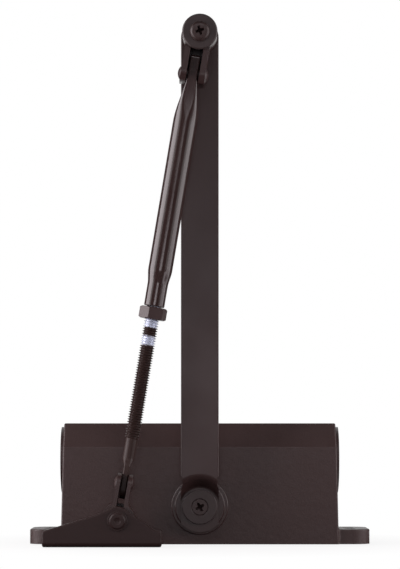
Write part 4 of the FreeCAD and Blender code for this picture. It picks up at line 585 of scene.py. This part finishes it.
def calc(tree, operation, first, second=0.0):
    """Output of a Math node. The inputs are numbers or sockets."""
    return add(tree, "ShaderNodeMath", {0: first, 1: second}, operation=operation).outputs[0]


def group(name, inputs, outputs):
    """Empty node group with named sockets, and its input and output nodes."""
    tree = bpy.data.node_groups.new(name, "ShaderNodeTree")
    for label, kind, default in inputs:
        socket = tree.interface.new_socket(label, in_out="INPUT", socket_type=kind)
        socket.default_value = default
    for label, kind in outputs:
        tree.interface.new_socket(label, in_out="OUTPUT", socket_type=kind)
    return tree, tree.nodes.new("NodeGroupInput"), tree.nodes.new("NodeGroupOutput")


def placed(tree, name, inputs):
    """A node group in a material, with its own values."""
    return add(tree, "ShaderNodeGroup", inputs, node_tree=bpy.data.node_groups[name])


NUMBER, COLOUR, PLACE = "NodeSocketFloat", "NodeSocketColor", "NodeSocketVector"

# %% Tone: clouds and specks in a colour
tree, given, result = group("tone", [
    ("Place", PLACE, (0, 0, 0)), ("Colour", COLOUR, (0.5, 0.5, 0.5, 1)),
    ("Clouds", NUMBER, 0.1), ("Specks", NUMBER, 0.1), ("Speck scale", NUMBER, 1500.0),
], [("Colour", COLOUR), ("Mask", NUMBER)])
clouds = add(tree, "ShaderNodeTexNoise", {"Vector": given.outputs["Place"], "Scale": 28.0,
                                          "Detail": 3.0, "Roughness": 0.55})
specks = add(tree, "ShaderNodeTexNoise", {"Vector": given.outputs["Place"],
                                          "Scale": given.outputs["Speck scale"],
                                          "Detail": 1.0})
cloud_part = calc(tree, "MULTIPLY", calc(tree, "SUBTRACT", clouds.outputs["Fac"], 0.5),
                  given.outputs["Clouds"])
speck_part = calc(tree, "MULTIPLY", calc(tree, "SUBTRACT", specks.outputs["Fac"], 0.5),
                  given.outputs["Specks"])
gain = calc(tree, "ADD", calc(tree, "ADD", cloud_part, speck_part), 1.0)
toned = add(tree, "ShaderNodeVectorMath", {0: given.outputs["Colour"], "Scale": gain},
            operation="SCALE")
tree.links.new(toned.outputs[0], result.inputs["Colour"])
tree.links.new(clouds.outputs["Fac"], result.inputs["Mask"])

# %% Grain: the wrinkle of powder coat
tree, given, result = group("grain", [
    ("Place", PLACE, (0, 0, 0)), ("Scale", NUMBER, 900.0), ("Coarse share", NUMBER, 0.5),
], [("Height", NUMBER)])
fine = add(tree, "ShaderNodeTexNoise", {"Vector": given.outputs["Place"],
                                        "Scale": given.outputs["Scale"], "Detail": 2.0,
                                        "Roughness": 0.6, "Distortion": 0.6})
coarse_scale = calc(tree, "MULTIPLY", given.outputs["Scale"], 0.42)
cells = add(tree, "ShaderNodeTexVoronoi", {"Vector": given.outputs["Place"],
                                           "Scale": coarse_scale, "Smoothness": 0.9},
            feature="SMOOTH_F1")
both = add(tree, "ShaderNodeMix", {0: given.outputs["Coarse share"],
                                   2: fine.outputs["Fac"], 3: cells.outputs["Distance"]})
tree.links.new(both.outputs[0], result.inputs["Height"])

# %% Strokes: marks drawn out in one direction
tree, given, result = group("strokes", [
    ("Place", PLACE, (0, 0, 0)), ("Scale", NUMBER, 900.0), ("Stretch", PLACE, (1, 1, 0.05)),
], [("Height", NUMBER)])
stretched = add(tree, "ShaderNodeVectorMath", {0: given.outputs["Place"],
                                               1: given.outputs["Stretch"]},
                operation="MULTIPLY")
lines = add(tree, "ShaderNodeTexNoise", {"Vector": stretched.outputs[0],
                                         "Scale": given.outputs["Scale"], "Detail": 3.0})
tree.links.new(lines.outputs["Fac"], result.inputs["Height"])

# %% [markdown]
# ## Finishes: materials
#
# Every finish is a Principled shader whose colour comes from *tone*, and whose bump comes
# from *grain* or *strokes*. The clouds of the tone also make the roughness a little uneven.
# Numbers that are the same all over the surface are set on the shader itself.

# %% One finish
COAT_ROUGHNESS = 0.12


def finish(name, colour, roughness, metallic=0.0, specular=0.5, clouds=0.12, specks=0.1,
           speck_scale=1500.0, grain=None, strokes=None, bump=0.2, depth=0.02,
           rough_spread=0.1, coat=0.0):
    """Material of one finish, with either a grain (scale, coarse share) or strokes (scale,
    stretch). Colours are linear; depth is in millimetres."""
    material = bpy.data.materials.new(name)
    material.use_nodes = True
    tree = material.node_tree
    shader = tree.nodes["Principled BSDF"]
    here = add(tree, "ShaderNodeTexCoord").outputs["Object"]
    tone = placed(tree, "tone", {"Place": here, "Colour": (*colour, 1.0), "Clouds": clouds,
                                 "Specks": specks, "Speck scale": speck_scale})
    tree.links.new(tone.outputs["Colour"], shader.inputs["Base Color"])
    if strokes:
        height = placed(tree, "strokes", {"Place": here, "Scale": strokes[0],
                                          "Stretch": strokes[1]}).outputs["Height"]
    else:
        height = placed(tree, "grain", {"Place": here, "Scale": grain[0],
                                        "Coarse share": grain[1]}).outputs["Height"]
    relief = add(tree, "ShaderNodeBump", {"Height": height, "Strength": bump,
                                          "Distance": depth * MM})
    tree.links.new(relief.outputs["Normal"], shader.inputs["Normal"])
    spread = add(tree, "ShaderNodeMapRange", {"Value": tone.outputs["Mask"],
                                              "From Min": 0.3, "From Max": 0.7,
                                              "To Min": roughness - rough_spread / 2,
                                              "To Max": roughness + rough_spread / 2})
    tree.links.new(spread.outputs[0], shader.inputs["Roughness"])
    shader.inputs["Metallic"].default_value = metallic
    shader.inputs["Specular IOR Level"].default_value = specular
    shader.inputs["Coat Weight"].default_value = coat
    shader.inputs["Coat Roughness"].default_value = COAT_ROUGHNESS
    return material


# %% Paints
body_paint = finish("body_paint", (0.0315, 0.0166, 0.0152), 0.44, specular=0.6, clouds=0.2,
                    specks=0.4, speck_scale=1900.0, grain=(760.0, 0.45), bump=1.0,
                    depth=0.16)
cap_paint = finish("cap_paint", (0.03, 0.0155, 0.0142), 0.33, specular=0.42,
                   grain=(2500.0, 0.2), bump=0.25, depth=0.02, rough_spread=0.06, coat=0.45)
arm_paint = finish("arm_paint", (0.0298, 0.0158, 0.0148), 0.34, grain=(700.0, 0.3), bump=0.25,
                   depth=0.03, rough_spread=0.08)
# The shoe's paint is the arm's paint, less glossy, with a darker colour that is painted shade.
shoe_paint_shaded = finish("shoe_paint_shaded", (0.0205, 0.0108, 0.0101), 0.4, specular=0.3,
                    grain=(700.0, 0.3), bump=0.25, depth=0.03, rough_spread=0.08)
tube_paint = finish("tube_paint", (0.029, 0.0158, 0.0146), 0.21, specular=0.7,
                    grain=(420.0, 0.2), bump=0.2, depth=0.03, coat=0.25)
disc_paint = finish("disc_paint", (0.031, 0.0205, 0.0197), 0.4, clouds=0.15,
                    grain=(1800.0, 0.4), bump=0.4, depth=0.04)
nut_paint = finish("nut_paint", (0.048, 0.031, 0.03), 0.35, grain=(900.0, 0.3), bump=0.4,
                   depth=0.04, clouds=0.3)
fastener_dark = finish("fastener_dark", (0.03, 0.0168, 0.0158), 0.38, grain=(1400.0, 0.3),
                       bump=0.4, depth=0.03, clouds=0.3)
cover_plastic = finish("cover_plastic", (0.018, 0.013, 0.012), 0.5, grain=(2200.0, 0.7),
                       bump=0.5, depth=0.04)

# %% Metals, rubber and plastic of the hidden pieces
valve_brass = finish("valve_brass", (0.62, 0.42, 0.16), 0.34, metallic=1.0, clouds=0.3,
                     strokes=(2500.0, (0.08, 1.0, 1.0)), bump=0.3, depth=0.02)
bare_steel = finish("bare_steel", (0.5, 0.5, 0.51), 0.34, metallic=1.0, clouds=0.2,
                    strokes=(1800.0, (1.0, 0.06, 1.0)), bump=0.25, depth=0.02)
spring_steel = finish("spring_steel", (0.11, 0.105, 0.105), 0.42, metallic=1.0, clouds=0.4,
                      grain=(1600.0, 0.8), bump=0.4, depth=0.03)
piston_iron = finish("piston_iron", (0.22, 0.22, 0.225), 0.38, metallic=1.0, clouds=0.3,
                     strokes=(1500.0, (1.0, 0.07, 0.07)), bump=0.3, depth=0.02)
rubber_black = finish("rubber_black", (0.012, 0.012, 0.012), 0.62, grain=(1200.0, 0.4),
                      bump=0.3, depth=0.03)
ring_plastic = finish("ring_plastic", (0.55, 0.52, 0.45), 0.45, grain=(900.0, 0.4), bump=0.2,
                      depth=0.02, clouds=0.08)

# %% [markdown]
# ## Finish of the rod
#
# The rod is zinc plated and was coated after it had been screwed in, so its thread is dark
# but for two bright bands near the nut, where the nut and the tube's neck had covered it.
# Mapping nodes move and turn Object coordinates until Z runs up the forearm from the elbow's
# rivet, and the distance below the rivet then says where the bands are. A little noise
# makes their rims follow the thread unevenly.

# %% Rod: dark coat with two zinc bands
BANDS = ((100.0, 136.3), (140.9, 146.05))
WOBBLE, RIM_HALF = 1.0, 0.2
rod_finish = bpy.data.materials.new("rod_coat_and_zinc")
rod_finish.use_nodes = True
tree = rod_finish.node_tree
shader = tree.nodes["Principled BSDF"]
here = add(tree, "ShaderNodeTexCoord").outputs["Object"]
lean = math.atan2(-along_forearm[0], -along_forearm[2])
from_rivet = add(tree, "ShaderNodeMapping", {"Vector": here, "Location": -Vector(elbow_pin)})
upright = add(tree, "ShaderNodeMapping", {"Vector": from_rivet.outputs[0],
                                          "Rotation": (0.0, -lean, 0.0)})
split = add(tree, "ShaderNodeSeparateXYZ", {0: upright.outputs[0]})
wobble = add(tree, "ShaderNodeTexNoise", {"Vector": here, "Scale": 900.0, "Detail": 1.0})
shifted = calc(tree, "MULTIPLY", wobble.outputs["Fac"], WOBBLE * MM)
distance = calc(tree, "SUBTRACT", shifted, split.outputs["Z"])
masks = []
for low, high in BANDS:
    middle, half = (low + high + WOBBLE) / 2, (high - low) / 2
    away = calc(tree, "ABSOLUTE", calc(tree, "SUBTRACT", distance, middle * MM))
    masks.append(add(tree, "ShaderNodeMapRange", {
        "Value": away, "From Min": (half + RIM_HALF) * MM,
        "From Max": (half - RIM_HALF) * MM}).outputs[0])
zinc = calc(tree, "MAXIMUM", *masks)
dark_tone = placed(tree, "tone", {"Place": here, "Colour": (0.027, 0.0145, 0.0125, 1.0),
                                  "Clouds": 0.4, "Specks": 0.5, "Speck scale": 1500.0})
zinc_tone = placed(tree, "tone", {"Place": here, "Colour": (0.72, 0.76, 0.86, 1.0),
                                  "Clouds": 0.15, "Specks": 0.25, "Speck scale": 2200.0})
colour = add(tree, "ShaderNodeMix", {0: zinc, 6: dark_tone.outputs["Colour"],
                                     7: zinc_tone.outputs["Colour"]}, data_type="RGBA")
tree.links.new(colour.outputs[2], shader.inputs["Base Color"])
tree.links.new(calc(tree, "MULTIPLY", zinc, 0.8), shader.inputs["Metallic"])
shader.inputs["Specular IOR Level"].default_value = 0.3
gloss = add(tree, "ShaderNodeMapRange", {"Value": zinc, "To Min": 0.42, "To Max": 0.46})
tree.links.new(gloss.outputs[0], shader.inputs["Roughness"])
relief = add(tree, "ShaderNodeBump", {
    "Height": placed(tree, "grain", {"Place": here, "Scale": 1300.0,
                                     "Coarse share": 0.3}).outputs["Height"],
    "Strength": 0.4, "Distance": 0.03 * MM})
tree.links.new(relief.outputs["Normal"], shader.inputs["Normal"])

# %% [markdown]
# The table below says which finish belongs to which slot of the record. The tube and the shoe
# are painted like the arm, but the tube is glossier and the shoe less glossy, so that they get
# their own variants of that paint. The shoe's variant is also darker in colour than the arm's.
# That is painted shade, because the shoe stands out in front and catches less of the side
# panels' light. The rivet in the shoe is painted with it.

# %% Give each slot its finish
finish_of_slot = {
    "body_paint": body_paint, "cap_paint": cap_paint, "arm_paint": arm_paint,
    "disc_paint": disc_paint, "nut_paint": nut_paint, "fastener_dark": fastener_dark,
    "rod_steel": rod_finish, "valve_brass": valve_brass, "bare_steel": bare_steel,
    "spring_steel": spring_steel, "piston_iron": piston_iron, "rubber_black": rubber_black,
    "ring_plastic": ring_plastic, "cover_plastic": cover_plastic,
}
for name, part in frame["nodes"].items():
    part.data.materials.clear()
    part.data.materials.append(finish_of_slot[slot_of[name]])
for piece in (forearm_tube, threaded_rod, lock_nut, elbow_rivet, shoe_pin_rivet, shoe_rivet,
              bearing_cap, arm_screw, elbow_screw):
    piece.data.materials.append(finish_of_slot[piece["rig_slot"]])
forearm_tube.data.materials[0] = tube_paint
# The shoe and its rivet get the copy of the arm paint that is darkened as painted shade.
frame["nodes"]["frame_shoe"].data.materials[0] = shoe_paint_shaded
shoe_rivet.data.materials[0] = shoe_paint_shaded
print(f"{len(finish_of_slot)} finishes")

# %% [markdown]
# ## Floor, light and surroundings
#
# The closer stands on a white floor in a white room. The room is plain white where it is
# seen or mirrored, and softer as a light, which the Light Path node tells apart. The floor
# does the same, and is grey paper where it only gives light, so that it doesn't brighten
# the closer from below. Near the closer a part of what is seen of it is real white paper,
# which shows the contact shadow, and further out it melts into the white of the room.


# %% Floor
def seen(tree):
    """1 for rays that come from the camera, a reflection or a clear piece, else 0."""
    rays = tree.nodes.new("ShaderNodeLightPath").outputs
    first = calc(tree, "MAXIMUM", rays["Is Camera Ray"], rays["Is Glossy Ray"])
    return calc(tree, "MAXIMUM", first, rays["Is Transmission Ray"])


def plane(name, corners):
    """One flat piece of the stage through four corners, in metres."""
    mesh = bpy.data.meshes.new(name)
    mesh.from_pydata(corners, [], [(0, 1, 2, 3)])
    piece = bpy.data.objects.new(name, mesh)
    bpy.context.scene.collection.objects.link(piece)
    return piece


FLOOR_HALF, FLOOR_LEVEL, CLOTH_LEVEL = 6.0, -0.0004, -0.0002
PAPER_SHARE, PAPER_NEAR, PAPER_FAR = 0.16, 0.09, 0.16
floor = plane("floor", [(x * FLOOR_HALF, y * FLOOR_HALF, FLOOR_LEVEL)
                        for x, y in ((-1, -1), (1, -1), (1, 1), (-1, 1))])
floor_finish = bpy.data.materials.new("floor")
floor_finish.use_nodes = True
tree = floor_finish.node_tree
paper = tree.nodes["Principled BSDF"]
floor_seen = seen(tree)
paper_colour = add(tree, "ShaderNodeMix", {0: floor_seen, 6: (0.3, 0.3, 0.3, 1),
                                           7: (0.9, 0.9, 0.9, 1)}, data_type="RGBA")
tree.links.new(paper_colour.outputs[2], paper.inputs["Base Color"])
paper.inputs["Roughness"].default_value = 0.9
paper.inputs["Specular IOR Level"].default_value = 0.0
glow = add(tree, "ShaderNodeEmission", {"Color": (1, 1, 1, 1), "Strength": 1.0})
from_middle = add(tree, "ShaderNodeVectorMath", {
    0: add(tree, "ShaderNodeTexCoord").outputs["Object"]}, operation="LENGTH")
paper_share = add(tree, "ShaderNodeMapRange", {"Value": from_middle.outputs["Value"],
                                               "From Min": PAPER_NEAR, "From Max": PAPER_FAR,
                                               "To Min": PAPER_SHARE, "To Max": 0.0})
glow_share = calc(tree, "SUBTRACT", 1.0, paper_share.outputs[0])
blend = add(tree, "ShaderNodeMixShader", {0: calc(tree, "MULTIPLY", floor_seen, glow_share),
                                          1: paper.outputs[0], 2: glow.outputs[0]})
tree.links.new(blend.outputs[0], tree.nodes["Material Output"].inputs["Surface"])
floor.data.materials.append(floor_finish)

# %% White room
ROOM_LIGHT = 0.22
world = bpy.data.worlds.new("white_room")
world.use_nodes = True
bpy.context.scene.world = world
tree = world.node_tree
background = tree.nodes["Background"]
background.inputs["Color"].default_value = (1, 1, 1, 1)
strength = add(tree, "ShaderNodeMapRange", {"Value": seen(tree), "To Min": ROOM_LIGHT,
                                            "To Max": 1.0})
tree.links.new(strength.outputs[0], background.inputs["Strength"])

# %% [markdown]
# Glossy paint in a white room would look grey all over. A photographer hangs dark cloth
# over, under and behind the camera, and dark flags behind the sides, and the paint then
# keeps its colour in front and gets dark rims. These cloths are only seen in reflections,
# so they take no light from the room.

# %% Dark cloth and flags
cloth = bpy.data.materials.new("cloth")
cloth.use_nodes = True
cloth_shader = cloth.node_tree.nodes["Principled BSDF"]
cloth_shader.inputs["Base Color"].default_value = (0.05, 0.045, 0.045, 1)
cloth_shader.inputs["Roughness"].default_value = 1.0
for name, corners in (
        ("cloth_floor", [(-1.5, -1.6, CLOTH_LEVEL), (1.5, -1.6, CLOTH_LEVEL),
                         (1.5, 0.04, CLOTH_LEVEL), (-1.5, 0.04, CLOTH_LEVEL)]),
        ("cloth_front", [(-1.5, -1.6, 0.0), (1.5, -1.6, 0.0), (1.5, -1.6, 1.5),
                         (-1.5, -1.6, 1.5)]),
        ("cloth_top", [(-1.5, -1.6, 1.5), (1.5, -1.6, 1.5), (1.5, 0.5, 1.5),
                       (-1.5, 0.5, 1.5)]),
        ("flag_left", [(-0.55, 0.12, 0.0), (-0.3, 0.6, 0.0), (-0.3, 0.6, 0.8),
                       (-0.55, 0.12, 0.8)]),
        ("flag_right", [(0.55, 0.12, 0.0), (0.3, 0.6, 0.0), (0.3, 0.6, 0.8),
                        (0.55, 0.12, 0.8)])):
    piece = plane(name, corners)
    piece.visible_camera = piece.visible_diffuse = piece.visible_shadow = False
    piece.data.materials.append(cloth)

# %% [markdown]
# The lamps, each a soft rectangle turned towards the closer:
#
# - two tall panels beside it, which the round tube shows as two bands;
# - two low, small ones near the ears, and two further out on the sides. The light comes
#   mostly from the sides, so that the face is brighter towards its ends;
# - a key lamp above the camera, and a weak glow behind it for the sheen on the flat arm;
# - one behind, which keeps the far side from going black.


# %% Lamps
LAMP_COLOUR = (1.0, 0.92, 0.96)


def lamp(name, place, size, power, aim, mirrored=True):
    """Soft rectangular lamp at a place, turned towards an aim. Paint may mirror it or not."""
    data = bpy.data.lights.new(name, "AREA")
    data.shape = "RECTANGLE"
    data.size, data.size_y = size
    data.energy = power
    data.color = LAMP_COLOUR
    item = bpy.data.objects.new(name, data)
    item.location = place
    item.rotation_euler = (Vector(aim) - Vector(place)).to_track_quat("-Z", "Y").to_euler()
    item.visible_camera = False
    item.visible_glossy = mirrored
    bpy.context.scene.collection.objects.link(item)


lamp("panel_left", (-0.36, -0.09, 0.2), (0.3, 0.5), 1.4, (0.0, -0.06, 0.18))
lamp("panel_right", (0.36, -0.09, 0.2), (0.3, 0.5), 0.6, (0.0, -0.06, 0.18))
lamp("low_left", (-0.2, -0.2, 0.05), (0.1, 0.08), 0.05, (-0.06, -0.022, 0.04))
lamp("low_right", (0.2, -0.2, 0.05), (0.1, 0.08), 0.04, (0.06, -0.022, 0.04))
lamp("side_left", (-0.7, -0.3, 0.1), (0.25, 0.25), 3.4, (0.0, -0.03, 0.08), mirrored=False)
lamp("side_right", (0.7, -0.3, 0.1), (0.25, 0.25), 3.0, (0.0, -0.03, 0.08), mirrored=False)
lamp("key", (0.0, -0.95, 0.8), (0.9, 0.35), 1.8, (0.0, -0.03, 0.08))
lamp("glow", (0.0, -1.45, 0.15), (0.5, 0.2), 1.0, (0.0, -0.03, 0.15))
lamp("back", (0.0, 1.2, 0.5), (1.2, 0.8), 2.5, (0.0, 0.0, 0.1), mirrored=False)

# %% [markdown]
# ## Close
#
# The looks stay inside the box of the solids.

# %% Colour handling and end
scene = bpy.context.scene
scene.view_settings.view_transform = "Standard"
